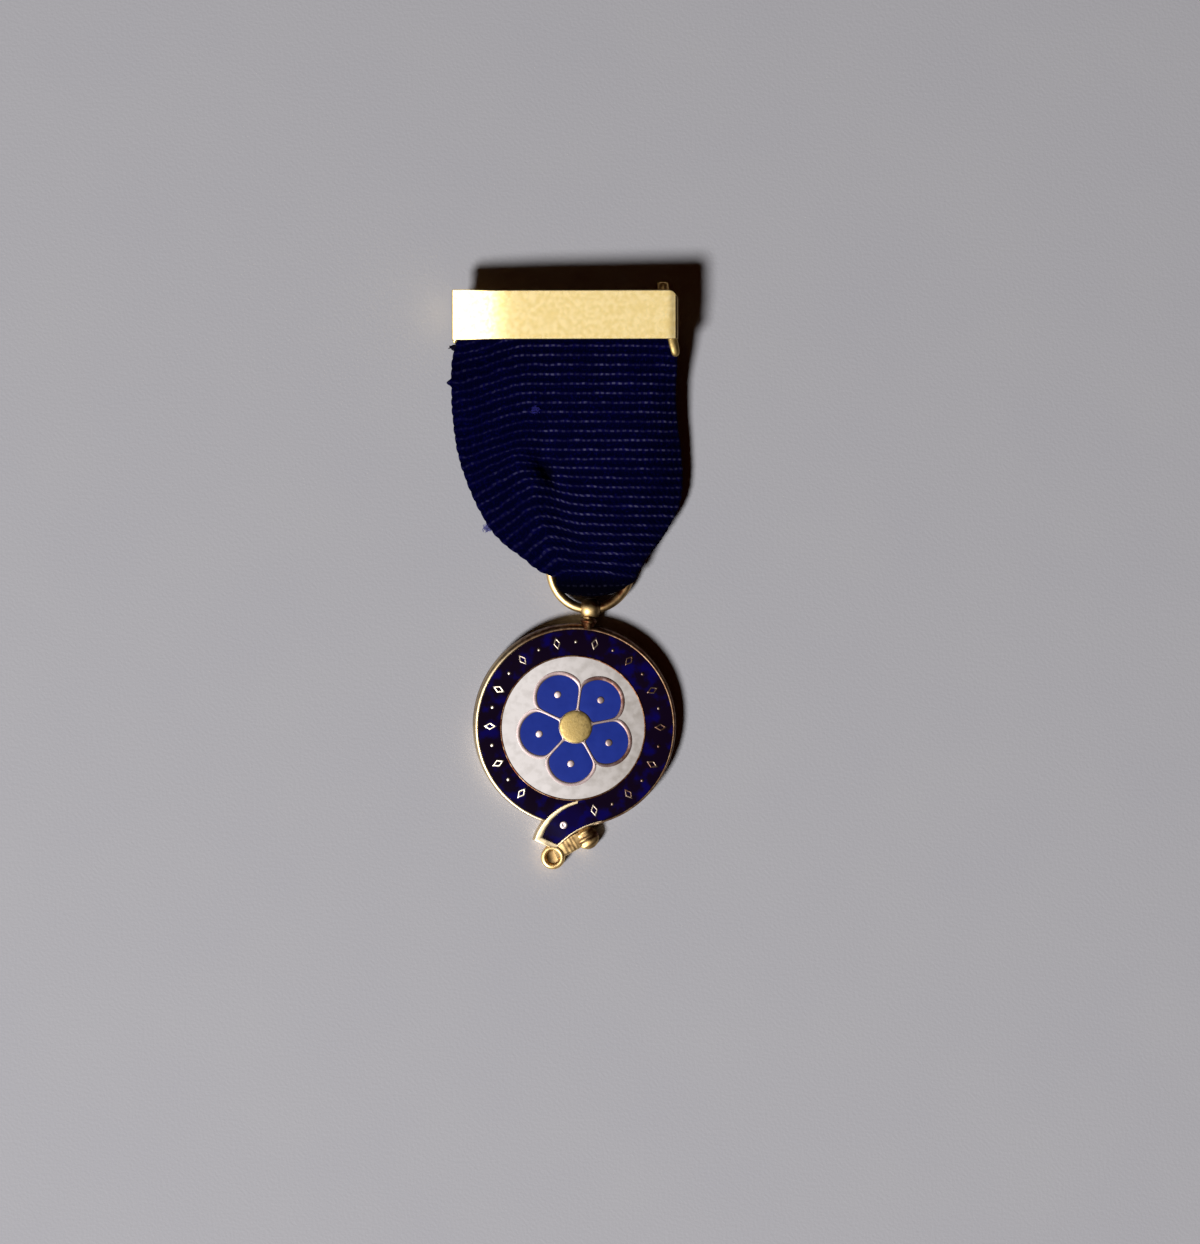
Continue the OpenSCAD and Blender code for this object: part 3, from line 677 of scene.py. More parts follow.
def disc_painted_shade(x, y, z):
    """Painted shade: only the left of the rim, which faces the lamps, stays bright; the share grows with
    the angle from BRIGHT_AT. The wall gets more than the line on top of it, least at the lower left, where
    the lamp falls on it, and the thin inner line is darkened most."""
    r, away = np.hypot(x, y), np.abs((np.degrees(np.arctan2(y, x)) - BRIGHT_AT + 180) % 360 - 180)
    wall = ease((r - 11.44) / 0.1)
    rim = (0.93 + 0.07 * wall) * ease((away - 40) / 50)
    lit_lower_left = 1 - 0.7 * np.exp(-((away / 30) ** 2)) * (y < 0)
    wall_share = (0.35 + 0.45 * (z < 1.7)) * wall * lit_lower_left
    return np.maximum(rim, wall_share) * (r > 10) + 1.0 * (r > 7.7) * (r < 8.95)


medal_gilt("medal_disc", [skin(on_medal(disc))], cream, disc_painted_shade, smooth_under=40.0)

# %% [markdown]
# ## The strap's tail
# The tail leaves the strap at the bottom, a little to the right, crosses the rim to the left and ends cut
# off square. Its edges are arcs, so rows that run from the upper arc to the lower one cover it. The gilt
# border is a raised line carried round three sides between an outer and an inner edge, which mitres its
# corners by itself.

# %% Tail
HIGH_GILT, HIGH_ENAMEL, TAIL_LOW = (3.5, -14.7), (3.78, -14.4), (7.447, -19.603)
RAIL_N = 72
# The edges of gilt and enamel, upper and lower. Columns: centre, radius, from and to in degrees, points
TAIL_ARCS = [
    (HIGH_GILT, 6.71, 108.8, 170.46, RAIL_N), (TAIL_LOW, 9.57, 108.5, 147.01, RAIL_N),
    (HIGH_ENAMEL, 6.14, 113.4, 168.3, RAIL_N), (TAIL_LOW, 9.77, 109.0, 143.16, RAIL_N),
]
gilt_top, gilt_low, enamel_top, enamel_low = (arc(*row) for row in TAIL_ARCS)
outer_rail = np.concatenate([gilt_top, gilt_low[::-1]])
inner_rail = np.concatenate([enamel_top, enamel_low[::-1]])
tail_base = [[0, -0.22, 0.02], [0, -0.22, 1.0], [0, -0.16, 1.3], [0, -0.03, 1.6], [0, 0, 1.85],
             [0.03, 0, 1.95], [0.5, 0, 1.98], [0.97, 0, 1.95], [1, 0, 1.85], [1, 0.03, 1.6],
             [1, 0.16, 1.3], [1, 0.22, 1.0], [1, 0.22, 0.02]]
border = raised(1.75, [(0, 2.1), (0.05, 2.19), (0.15, 2.24), (0.35, 2.26), (0.65, 2.27), (0.88, 2.26),
                       (0.97, 2.22), (1, 2.12)], 1.9)
bowed = -0.2 * ease((np.linspace(0, 1, RAIL_N) - 0.6) / 0.4)
tail_wall = carried(gilt_top, gilt_low, tail_base, lift=bowed * 0.5)
tail_wall[..., 2] = np.maximum(tail_wall[..., 2], 0.02)
tail_border = carried(outer_rail, inner_rail, border, lift=np.concatenate([bowed, bowed[::-1]]))
# Painted shade on the tail's gilt: a little all over, and more towards the right, away from the lamps.
medal_gilt("tail_gilt", [skin(on_medal(tail_wall)), skin(on_medal(tail_border))], cream,
           lambda x, y, z: 0.16 + 0.4 * ease((x - 0.5) / 3.0))

# %% [markdown]
# ## The buckle
# Below the tail lies the buckle: a dished loop, a round lobe, and a ridged bar between them that the tail
# half covers. The loop and the lobe are turned, and the bar is carried between two straight rails, with
# its height going up and down for the ridges.

# %% Buckle
LOOP, LOBE = np.array([-0.70, -15.26]), np.array([2.96, -12.55])
BUCKLE_BAR_H, GROOVE_APART, GROOVE_DEPTH = 1.60, 0.8, 0.07
# The bar's ridges: how many, how high, where they begin, and how much shorter than the bar their row is
RIDGES, RIDGE_H, RIDGES_FROM, RIDGES_SHORT = 4, 0.012, 1.39, 2.71
loop_profile = [[0.05, 0.0], [1.25, 0.0], [1.36, 0.1], [1.4, 0.3], [1.4, 1.3], [1.38, 1.5], [1.33, 1.64],
                [1.23, 1.72], [1.08, 1.76], [0.94, 1.75], [0.85, 1.67], [0.80, 1.52], [0.77, 1.3],
                [0.7, 1.12], [0.5, 1.05], [0.05, 1.03]]
lobe_a = np.radians(np.linspace(8, 88, 10))
lobe_profile = np.concatenate([[[0.05, 0.0], [1.2, 0.0], [1.3, 0.1], [1.32, 0.3], [1.32, 1.0]],
                               np.stack([1.32 * np.cos(lobe_a), 1.35 + 0.55 * np.sin(lobe_a) ** 1.1], -1)])
lobe = turned(lobe_profile, 64)
bar_long = float(np.linalg.norm(LOBE - LOOP))
bar_along = (LOBE - LOOP) / bar_long
bar_side = np.array([-bar_along[1], bar_along[0]])
groove = 1 - np.cos(2 * np.pi * (lobe[..., :2] @ bar_side) / GROOVE_APART)
lobe[..., 2] -= GROOVE_DEPTH * groove * ease((lobe[..., 2] - 1.2) / 0.3)

bar_at = np.linspace(0.4, bar_long - 0.2, 90)[:, None]
on_row = np.clip((bar_at - RIDGES_FROM) / (bar_long - RIDGES_SHORT), 0, 1)
ridged = np.sin(np.pi * RIDGES * on_row ** 1.15) ** 2
low_rail = LOOP + bar_along * bar_at - bar_side * (0.60 + 0.03 * ridged)
high_rail = LOOP + bar_along * bar_at + bar_side * 1.15
bar_section = raised(0.02, [(0, 0.8), (0.02, 0.9), (0.08, 0.97), (0.2, 1), (0.5, 1), (0.8, 1),
                            (0.95, 0.97), (1, 0.85)])
ridged_bar = carried(low_rail, high_rail, bar_section)
ridged_bar[..., 2] *= BUCKLE_BAR_H + RIDGE_H * ridged
buckle_grids = [moved(turned(loop_profile, 64), *LOOP), moved(lobe, *LOBE), ridged_bar]


def buckle_darkening_and_shade(x, y, z):
    """The loop's dish is darkened, the lobe's right side, away from the lamps, gets painted shade, each
    within its own distance, what lies between them is darkened in patches, and everything low down gets
    painted shade. The bar's lower edge stays bright."""
    x, y = turned_flat(np.stack([x, y], -1), -MEDAL_TURN).T
    from_loop = np.hypot(x - LOOP[0], y - LOOP[1])
    dish = 0.54 * (1 - ease((from_loop - 0.75) / 0.15))
    aside = (x - LOOP[0]) * bar_side[0] + (y - LOOP[1]) * bar_side[1]
    patchy = 0.58 + 0.30 * np.sin(4.1 * x + 2.0 * y) * np.sin(5.3 * y - 1.7 * x)
    past_loop = patchy * ease((from_loop - 1.5) / 0.5) * ease((aside + 0.45) / 0.2)
    lobe_right = 0.55 * ease((x - LOBE[0] + 0.3) / 0.8)
    return np.maximum(dish, past_loop + lobe_right) + 0.4 * (z < 0.8)


medal_gilt("buckle", [skin(on_medal(grid, 0)) for grid in buckle_grids], polished, buckle_darkening_and_shade)

# %% [markdown]
# ## Neck and bead
# A short neck with a collar carries the bead. The bead's hole runs across the badge, so the bead is
# turned about X: a ball's profile outside and a straight hole inside make one closed loop.

# %% Neck and bead
# The ball is a little squared: r = R * (1 - |x / half| ** power) ** (1 / power)
BEAD_R, BEAD_HALF, BEAD_POWER, HOLE_R = 1.25, 1.2, 2.4, 0.66
neck = [[0.05, 11.3], [0.78, 11.3], [0.74, 11.7], [0.74, 12.0], [0.9, 12.06], [0.97, 12.16], [0.97, 12.34],
        [0.9, 12.44], [0.76, 12.5], [0.76, 12.7], [0.05, 12.7]]
ball_x = np.cos(np.radians(np.linspace(18, 162, 25))) * 1.14
ball_r = BEAD_R * (1 - np.abs(ball_x / BEAD_HALF) ** BEAD_POWER) ** (1 / BEAD_POWER)
hole = [[HOLE_R, x] for x in (-1.02, -0.4, 0.4, 1.02)]
ball_loop = np.concatenate([np.stack([ball_r, ball_x], -1), hole])
bead_shells = [skin(on_medal(moved(laid(turned(neck, 48), "Y"), z=BEAD[2]), 0)),
               skin(moved(laid(turned(ball_loop, 64), "X"), *BEAD), wrap=True)]


def bead_painted_shade(x, y, z):
    """Painted shade: the neck, which lies in shade, is brown all over, and the bead at its right and at
    its back, away from the lamps.
    """
    return np.where(y < 12.6, 1.0, 0.28 + 0.45 * ease((x - 1.7) / 0.7) + 0.6 * ease((y - 13.7) / 0.5))


medal_gilt("neck_and_bead", bead_shells, polished, bead_painted_shade)

# %% [markdown]
# ## Motifs on the strap
# Hollow lozenges and small pellets take turns along the strap. A lozenge's edge, seen from its middle, is
# 1 / (|cos t| / a + |sin t| / b), a and b its half length and half width. Raising both parts to a power
# just over one rounds its corners. Its gilt line is carried between two such edges.

# %% Lozenges and pellets
MOTIF_R, MOTIFS = 9.85, 25
motif_at = np.linspace(238, -70, MOTIFS)


def lozenge(grow, count=48, power=1.08):
    """Edge of a lozenge 1.6 by 0.95, moved out by grow all round:
    r = ((|cos t| / a) ** power + (|sin t| / b) ** power) ** (-1 / power)."""
    a, b = 0.8 + grow * 1.96, 0.475 + grow * 1.16
    t = np.linspace(0, 2 * np.pi, count, endpoint=False)
    r = ((np.abs(np.cos(t)) / a) ** power + (np.abs(np.sin(t)) / b) ** power) ** (-1 / power)
    return np.stack([r * np.cos(t), r * np.sin(t)], -1)


def at_motif(grid, degrees):
    """The grid, moved out to the middle of the strap and turned to its angle."""
    out = grid.copy()
    out[..., :2] = turned_flat(grid[..., :2] + [MOTIF_R, 0], degrees)
    return on_medal(out)


lozenge_line = carried(lozenge(-0.26), lozenge(0.0),
                       raised(FOOT, [(0, 2.14), (0.2, 2.2), (0.5, 2.23), (0.8, 2.2), (1, 2.14)]))
pellet = turned([[0.02, FOOT], [0.23, FOOT], [0.23, 2.15], [0.2, 2.2], [0.14, 2.24], [0.07, 2.26],
                 [0.02, 2.265]], 24)
motif_shells = [skin(at_motif(lozenge_line, t), wrap=True) for t in motif_at[::2]]
motif_shells += [skin(at_motif(pellet, t)) for t in motif_at[1::2]]
# Painted shade on the motifs: it grows towards the upper right, away from the lamps.
medal_gilt("strap_motifs", motif_shells, pale,
           lambda x, y, z: 0.68 * ease((x + 0.5 * y + 8) / 6) + 0.27 * ease((x - 1) / 5))

# %% [markdown]
# ## The blossom's gilt lines
# Each petal's enamel is fenced by its own gilt line. Seen from the petal's middle, the fence is the
# nearest of four edges: a circle round the petal, two straight lines to its neighbours, and the circle
# round the boss. Taking a soft minimum of the four distances rounds the corners as the die does.

# %% Petal fences
PETALS, PETAL_AT, PETAL_R, HALF_TURN = 5, 3.87, 3.0, np.radians(36)
FIRST_PETAL = 126
petal_angles = FIRST_PETAL - 72 * np.arange(PETALS)


def petal_edge(radius, half_line, inner, count=160, soft=16.0):
    """Edge of a petal that points along X, seen from its middle: distances along each ray to the circle,
    to the two lines at 36 degrees and to the inner circle, joined as (sum of d^-p)^(-1/p)."""
    t = np.linspace(0, 2 * np.pi, count, endpoint=False)
    c, s = np.cos(t), np.sin(t)
    far = np.full(count, 50.0)
    reach = PETAL_AT * np.sin(HALF_TURN) - half_line
    lean = np.abs(s) * np.cos(HALF_TURN) - c * np.sin(HALF_TURN)
    to_line = np.where(lean > 0.02, reach / np.maximum(lean, 0.02), far)
    under = inner ** 2 - (PETAL_AT * s) ** 2
    to_inner = np.where((c < 0) & (under > 0), -PETAL_AT * c - np.sqrt(np.maximum(under, 0)), far)
    r = sum(d ** -soft for d in (radius + 0 * t, to_line, to_inner)) ** (-1 / soft)
    return np.stack([PETAL_AT + r * c, r * s], -1)


fence = raised(FOOT, [(0, 2.13), (0.15, 2.18), (0.45, 2.21), (0.8, 2.22), (1, 2.215)])
fence_rails = [petal_edge(2.55, 0.17, 1.96), petal_edge(PETAL_R, 0.0, 1.8)]
fence_shells = [skin(on_medal(carried(*(turned_flat(rail, a) for rail in fence_rails), fence)), wrap=True)
                for a in petal_angles]


def fence_painted_shade(x, y, z):
    """Painted shade: some everywhere, growing to the right, away from the lamps, and more so on the
    petals' outer edges, most at the two right petals.
    """
    outside = ease((np.hypot(x, y) - 4.5) / 1.5)
    at_right = 0.22 * ease((x + y) / 5 + 0.6) + 0.16 * ease((x + 0.3 * y + 1) / 3)
    return 0.42 + 0.15 * ease((x + 3) / 6) + outside * at_right


medal_gilt("blossom_lines", fence_shells, rosy, fence_painted_shade)

# %% Boss
boss = turned([[0.1, FOOT], [1.88, FOOT], [1.88, 2.2], [1.85, 2.25], [1.75, 2.285], [1.5, 2.315],
               [0.8, 2.34], [0.1, 2.345]], 72)
medal_gilt("blossom_boss", [skin(on_medal(boss))], sandy, smooth_under=40.0)

# %% [markdown]
# Every petal has a dot, and so has the strap's tail, where it stands for the eyelet and has a pricked
# middle. They are small domes of a paler, rosier gilt, because the enameller's fire reddened them.

# %% Dots
DOT_AT, EYELET = 4.26, (0.06, -11.40)
dot = [[0.02, FOOT], [0.43, FOOT], [0.43, 2.17], [0.4, 2.205], [0.3, 2.23], [0.16, 2.24], [0.02, 2.245]]
eyelet = [[0.02, FOOT], [0.47, FOOT], [0.47, 2.16], [0.44, 2.21], [0.36, 2.25], [0.27, 2.265],
          [0.17, 2.26], [0.1, 2.235], [0.05, 2.22], [0.02, 2.215]]
dots = [moved(turned(dot, 32), *turned_flat([[DOT_AT, 0]], a)[0]) for a in petal_angles]
dots.append(moved(turned(eyelet, 32), *EYELET))
# Painted shade on the petals' dots, more towards the right; the eyelet gets none.
medal_gilt("dots", [skin(on_medal(grid)) for grid in dots], rosy,
           lambda x, y, z: np.where(y < -9, 0.0, 0.34 + 0.32 * ease((x + 1) / 3)))

# %% [markdown]
# ## Enamel
# Enamel is coloured glass, melted into the sunk cells and ground level with the gilt lines. Its colour
# sits under a clear surface, so each finish is a rougher base under a smooth coat. The glass isn't quite
# even: it has cloudy patches, and the white has blotches of grey dirt and is darkened towards its right
# side with painted shade.

# %% Enamel finishes
strap_blue = Finish("strap_enamel", (0.004, 0.0015, 0.04), 0.35, Coat_Weight=1.0, Coat_Roughness=0.05,
                    Specular_IOR_Level=0.1)
from_eyelet = strap_blue.far_from((-0.0007, -0.0112, 0.0022))
cloud = strap_blue.math("ADD", strap_blue.spots(1.8, 3.0, 0.48, 0.68),
                        strap_blue.ramp(from_eyelet, 0.001, 0.0034, 0.5, 0.0))
strap_blue.colour(strap_blue.blend(cloud, (0.0055, 0.001, 0.011), (0.003, 0.001, 0.090)))
strap_blue.grain(1.2, 2.0, 0.01)

royal = Finish("petal_enamel", (0.022, 0.042, 0.38), 0.35, Coat_Weight=1.0, Coat_Roughness=0.15,
               Specular_IOR_Level=0.3)
royal.colour(royal.blend(royal.noise(1.5, 3.0), (0.013, 0.033, 0.30), (0.024, 0.056, 0.43)))
royal.grain(1.0, 2.0, 0.015)

ground_white = Finish("white_enamel", (0.72, 0.71, 0.71), 0.4, Coat_Weight=1.0, Coat_Roughness=0.3)
# Painted shade: the white greys towards its right, away from the lamps, and blotches of dirt add to it.
shade_rightwards = ground_white.ramp(ground_white.coordinates()[0], -0.007, 0.009, 0.05, 0.76)
blotches = ground_white.spots(1.1, 6.0, 0.36, 0.70, -0.15, 0.22)
dirt_and_shade = ground_white.math("ADD", shade_rightwards, blotches)
ground_white.colour(ground_white.blend(dirt_and_shade, (1.0, 0.945, 0.915), (0.50, 0.455, 0.41)))
ground_white.grain(1.4, 2.0, 0.015)

# %% [markdown]
# The strap's enamel is a turned ring. Under the tail it sinks out of the way, and the tail has its own
# patch between its two arcs, which starts flush with the ring and rises a little. Petals and the hollows
# of the lozenges are patches too: their edge is drawn in to their middle in steps, each step a row.

# %% Enamel patches
def patch(edge, middle, shares, heights):
    """Rows that draw an edge in to its middle: middle + share * (edge - middle), each at a height."""
    edge, middle = np.asarray(edge), np.asarray(middle)
    flat = middle + (edge - middle) * np.reshape(shares, (-1, 1, 1))
    up = np.reshape(heights, (-1, 1)) + np.zeros((1, len(edge)))
    return np.concatenate([flat, up[..., None]], -1)


BELT_OUT = CHANNEL_OUT - 0.01
SINK_R, SINK_X, SINK_BY = 6.35, 2.4, 0.15
belt = turned([[CHANNEL_IN, FOOT], [CHANNEL_IN, 2.15], [9.2, 2.165], [9.85, 2.17], [10.5, 2.165],
               [BELT_OUT, 2.15], [BELT_OUT, FOOT]], 240)
belt[:2, :, :2] += INNER_OFF
from_tail = np.hypot(*(belt[..., k] - HIGH_ENAMEL[k] for k in (0, 1)))
sunk = ease((SINK_R - from_tail) / 0.4) * ease((SINK_X - belt[..., 0]) / 1.4) * (belt[..., 2] > 2)
belt[..., 2] -= SINK_BY * sunk
tail_rows = np.linspace(0, 1, RAIL_N)
tail_glass = raised(1.9, [(0, 2.17), (0.25, 2.2), (0.5, 2.21), (0.75, 2.2), (1, 2.17)])
tail_patch = carried(arc(HIGH_ENAMEL, 6.12, 91.7, 168.3, RAIL_N),
                     arc(TAIL_LOW, 9.79, 110.8, 143.16, RAIL_N), tail_glass,
                     lift=bowed - 0.03 * (1 - ease(tail_rows / 0.25)))
hollow = patch(lozenge(-0.24), (0, 0), [1, 1, 0.8, 0.4, 0.1], [FOOT, 2.12, 2.15, 2.16, 2.16])
belt_shells = [skin(on_medal(belt), wrap=True), skin(on_medal(tail_patch))]
belt_shells += [skin(at_motif(hollow, t)) for t in motif_at[::2]]
dress(make("strap_glass", belt_shells, strap_blue.material, 40.0), "strap_enamel", "belt_enamel")

# %% White ground
turn_a = np.linspace(0, 2 * np.pi, 360, endpoint=False)
to_petal = (turn_a - np.radians(FIRST_PETAL) + HALF_TURN) % (2 * HALF_TURN) - HALF_TURN
blossom_r = PETAL_AT * np.cos(to_petal) + np.sqrt(PETAL_R ** 2 - (PETAL_AT * np.sin(to_petal)) ** 2) - 0.15
round_a = np.stack([np.cos(turn_a), np.sin(turn_a)], -1)
ground = carried(round_a * blossom_r[:, None], round_a * (LINE_IN + 0.01) + INNER_OFF,
                 raised(FOOT, [(0, 2.15), (0.3, 2.16), (0.7, 2.16), (1, 2.15)]))
dress(make("white_ground", [skin(on_medal(ground), wrap=True)], ground_white.material, 40.0),
      "white_enamel", "ground_enamel")

# %% Petals
for k, degrees in enumerate(petal_angles):
    edge = turned_flat(petal_edge(2.57, 0.15, 1.94), degrees)
    middle = turned_flat([[PETAL_AT, 0]], degrees)[0]
    grid = patch(edge, middle, [1, 1, 0.9, 0.6, 0.3, 0.05], [FOOT, 2.15, 2.165, 2.175, 2.18, 2.18])
    petal = make(f"petal_{k + 1}", [skin(on_medal(grid))], royal.material, 40.0)
    dress(petal, "petal_enamel", f"petal_enamel_{k + 1}")

# %% [markdown]
# ## The ribbon
# The ribbon is one woven band, 26.3 mm wide, with thick ribs across it. It goes round the strip inside
# the bar and through the ring, and its ends are sewn together out of sight. It could be draped by
# simulation, but its folds were pressed and sewn by hand, and the picture shows where each rib runs. So
# each row of the grid is one thread across the band: it is laid along its own guide curve by its true
# length, first along the face, then round the folded right edge, and what is left of it goes back
# underneath.

# %% The ribbon's measures
# The band's width, from one rib to the next, and the height of one rib on the face
BAND, RIB, FIRST_RIB = 26.3, 1.0815, 43.8
# The cloth's thickness in a groove, what a rib adds to each side, the radius of the turn at a folded edge,
# which is half a layer, and the level of the back layer's middle
CLOTH_T, RIB_H, LAYER, LYING = 0.36, 0.07, 0.26, 0.53
# The height at which the band turns round the ring
INTO_RING = 17.4

# Rows of the face. Columns: height of the rib at the right, height of its left end, where its ridge is,
# how high it rises there, where that rise begins, its right end, the level of the layer, the depth of the
# hollow beside the ridge, and the height of the ridge
FACE = np.array([
    [49.3, 47.5, -5.2, 0.00, -3.0, 10.85, 4.43, 0.00, 0.00],
    [46.9, 44.9, -5.2, 0.00, -3.0, 10.85, 4.43, 0.00, 0.00],
    [44.9, 42.9, -5.2, 0.00, -3.0, 10.95, 4.43, 0.00, 0.00],
    [43.9, 41.9, -5.2, 0.00, -3.0, 11.45, 4.42, 0.00, 0.00],
    [42.0, 39.9, -5.2, 0.00, -3.0, 11.62, 4.38, 0.02, 0.00],
    [39.0, 36.9, -5.2, 0.00, -3.0, 11.66, 4.25, 0.05, 0.00],
    [36.0, 33.9, -5.3, 0.00, -2.8, 11.80, 4.10, 0.08, 0.02],
    [34.4, 32.3, -5.6, 0.05, -2.6, 11.92, 4.02, 0.12, 0.04],
    [33.3, 31.2, -5.9, 0.08, -2.4, 11.98, 3.97, 0.25, 0.06],
    [32.0, 29.95, -6.3, 0.16, -1.8, 12.05, 3.90, 0.50, 0.10],
    [30.76, 28.8, -6.6, 0.44, -1.2, 12.10, 3.84, 0.92, 0.14],
    [29.6, 27.6, -6.5, 0.70, -0.6, 12.16, 3.78, 1.00, 0.18],
    [28.53, 26.3, -5.9, 0.82, 0.0, 12.18, 3.73, 0.98, 0.20],
    [27.3, 25.1, -5.2, 1.02, 0.5, 12.12, 3.66, 0.60, 0.22],
    [26.15, 23.8, -4.75, 1.15, 0.9, 11.98, 3.61, 0.28, 0.22],
    [25.2, 22.95, -4.6, 1.15, 1.2, 11.68, 3.57, 0.24, 0.22],
    [24.02, 21.95, -4.4, 1.10, 1.2, 11.10, 3.52, 0.20, 0.20],
    [22.9, 20.95, -4.0, 1.05, 1.2, 10.35, 3.47, 0.16, 0.18],
    [21.8, 20.1, -3.4, 0.98, 1.2, 9.60, 3.40, 0.12, 0.16],
    [20.7, 19.35, -2.8, 0.82, 1.2, 8.80, 3.30, 0.08, 0.12],
    [19.75, 18.45, -2.3, 0.62, 1.2, 8.10, 3.18, 0.04, 0.08],
    [18.66, 17.75, -1.9, 0.32, 1.0, 7.35, 3.03, 0.00, 0.04],
    [17.4, 17.2, -1.6, 0.05, 0.8, 6.60, 2.88, 0.00, 0.00],
])
# The band's left edge: height, place
SELVEDGE = np.array([
    [48.0, -13.0], [45.6, -13.2], [44.8, -13.5], [44.2, -13.7], [43.4, -13.9], [42.2, -14.15],
    [40.0, -14.22], [37.4, -14.18], [34.8, -14.0], [32.2, -13.68], [30.3, -13.2], [28.3, -12.5],
    [26.6, -11.78], [25.0, -11.06], [23.56, -10.3], [22.1, -9.19], [20.7, -7.75], [20.0, -6.74],
    [19.4, -5.88], [18.5, -4.87], [17.9, -3.95], [17.55, -3.0], [17.3, -2.1], [16.8, -1.9],
])
# How far the right edge droops towards the table: height, drop
DROOP = np.array([
    [17.4, 0.3], [18.4, 0.6], [20.0, 1.2], [22.0, 1.6], [25.0, 1.9], [28.0, 2.1], [30.0, 2.2], [33.6, 2.3],
    [36.0, 2.2], [38.0, 2.0], [40.0, 1.5], [42.0, 1.0], [44.8, 0.1], [49.3, 0.0],
])
# Rows of the back layer: height, left end, right end, how far it lies above LYING
BACK = np.array([
    [17.4, -2.75, 6.15, 0.0], [20.0, -6.2, 8.5, 0.0], [22.1, -8.8, 10.0, 0.0], [24.4, -10.5, 11.2, 0.0],
    [29.0, -12.6, 11.5, 0.0], [33.6, -13.7, 11.3, 0.10], [38.0, -13.8, 11.2, 0.60],
    [42.0, -13.7, 11.1, 1.85], [44.8, -13.1, 10.8, 2.84], [49.3, -13.1, 10.8, 2.84],
])


def column(table, number, at, soften=0.9):
    """A table's column, read off at the heights `at` by straight lines between its rows, and softened: the
    mean over nine heights within `soften`, weighted by a bell."""
    order = np.argsort(table[:, 0])
    spread = np.linspace(-soften, soften, 9)
    found = np.interp(at[:, None] + spread, table[order, 0], table[order, number])
    bell = np.hanning(11)[1:-1]
    return (found * bell).sum(1) / bell.sum()


# %% [markdown]
# On the face a rib is level at the right. Further left it rises to a soft ridge, and left of the ridge it
# runs down to the edge: in an S where the ribbon is flat, and straight where it is gathered into the
# ring.

# %% Guide curves of the face
GUIDE = 150
STRAIGHT_BELOW, STRAIGHT_OVER = 29, 6
LEAN, LEAN_BELOW, LEAN_OVER, LEAN_REACH = 0.035, 31, 3, 5
HOLLOW_AT, HOLLOW_W, RIDGE_W = 2.7, 1.1, 1.0
DROOP_FROM, DROOP_POWER, LEFT_SAG = 5.0, 2.2, 0.35


def under_bar(x):
    """How far the face layer is lowered inside the bar, to stay under its slope."""
    return np.minimum(pressed(x), 1.05)


def face_guides(at):
    """Middle line of each rib, on GUIDE points from its left end to its right end, for an array of ribs.

    Right of the ridge: y = at + rise * (1 - ease(share of the way to where the rise begins)), with a
    slight lean lower down. Left of it: y = top - drop * f(s), f between s itself and ease(s), s the share
    of the way to the edge. The height is the layer's level, less a hollow beside the ridge, plus the
    ridge, both of them bells, less what the sides sag and the bar presses down, plus a faint wave."""
    columns = [column(FACE, k, at)[:, None] for k in range(1, FACE.shape[1])]
    left_y, ridge_x, rise, rise_x, right, level, hollow, ridge = columns
    left = np.interp(left_y, *SELVEDGE[::-1].T)
    slope = column(FACE, 6, at + 0.5) - column(FACE, 6, at - 0.5)
    at = at[:, None]
    x = left + (right - LAYER - left) * np.linspace(0, 1, GUIDE)
    s = np.clip((ridge_x - x) / (ridge_x - left), 0, 1)
    curl = 0.8 * ease((at - STRAIGHT_BELOW) / STRAIGHT_OVER)
    straight = (np.sqrt(s * s + 0.01) - 0.1) / (np.sqrt(1.01) - 0.1)
    fall = (at + rise - left_y) * (curl * ease(s) + (1 - curl) * straight)
    climb = rise * (1 - ease((x - ridge_x) / (rise_x - ridge_x)))
    lean = LEAN * ease((LEAN_BELOW - at) / LEAN_OVER)
    lean_here = lean * np.clip(LEAN_REACH - x, 0, LEAN_REACH) * (x > ridge_x)
    lean_at_ridge = lean * np.clip(LEAN_REACH - ridge_x, 0, LEAN_REACH)
    right_side = climb * (1 - lean_at_ridge / np.maximum(rise, 0.3)) + lean_here
    low_right = 0.5 * ease((20.5 - at) / 3) * ease((x - 3) / 4)
    y = at + np.where(s > 0, rise - fall, right_side) - low_right
    fade = np.clip(np.minimum((47 - at) / 8, (at - INTO_RING) / 8), 0, 1)
    to_edge = np.clip(x - DROOP_FROM, 0, None) / (right - DROOP_FROM)
    z = (level - hollow * np.exp(-((x - ridge_x - HOLLOW_AT) / HOLLOW_W) ** 2)
         + ridge * np.exp(-((x - ridge_x) / RIDGE_W) ** 2) - LEFT_SAG * s * s * fade
         - np.interp(at, *DROOP.T) * to_edge ** DROOP_POWER
         - under_bar(x) * ease((at - 41) / 4)
         + 0.05 * fade * np.sin(0.9 * x + 0.5 * at) * np.sin(0.35 * at))
    return np.stack([x, y, z], -1), unit(np.stack([0 * slope, -slope, 1 + 0 * slope], -1))


# %% [markdown]
# The other guides are simpler: half turns where the band goes through the ring and inside the bar, and
# level rows on the back, which lies on the table and climbs into the bar.

# %% Guide curves of the folds and the back
FOLD_R, FOLD_MID, FOLD_Y, FOLD_X = 1.175, 1.705, 16.685, 1.717
FOLD_LEFT = [3.9, 3.8, 3.6, 3.3, 3.0, 3.0, 3.5]
FOLD_RIGHT = [4.7, 4.3, 3.9, 3.6, 3.6, 3.6, 3.6]
BOW_LEFT, BOW_RIGHT = 0.045, 0.06
TOP_Y, TOP_MID, TOP_R, TOP_LEFT, TOP_RIGHT = 49.3, 3.90, 0.53, -13.1, 10.82


def row_of(left, right):
    """x from left to right for each row."""
    return left[:, None] + (right - LAYER - left)[:, None] * np.linspace(0, 1, GUIDE)


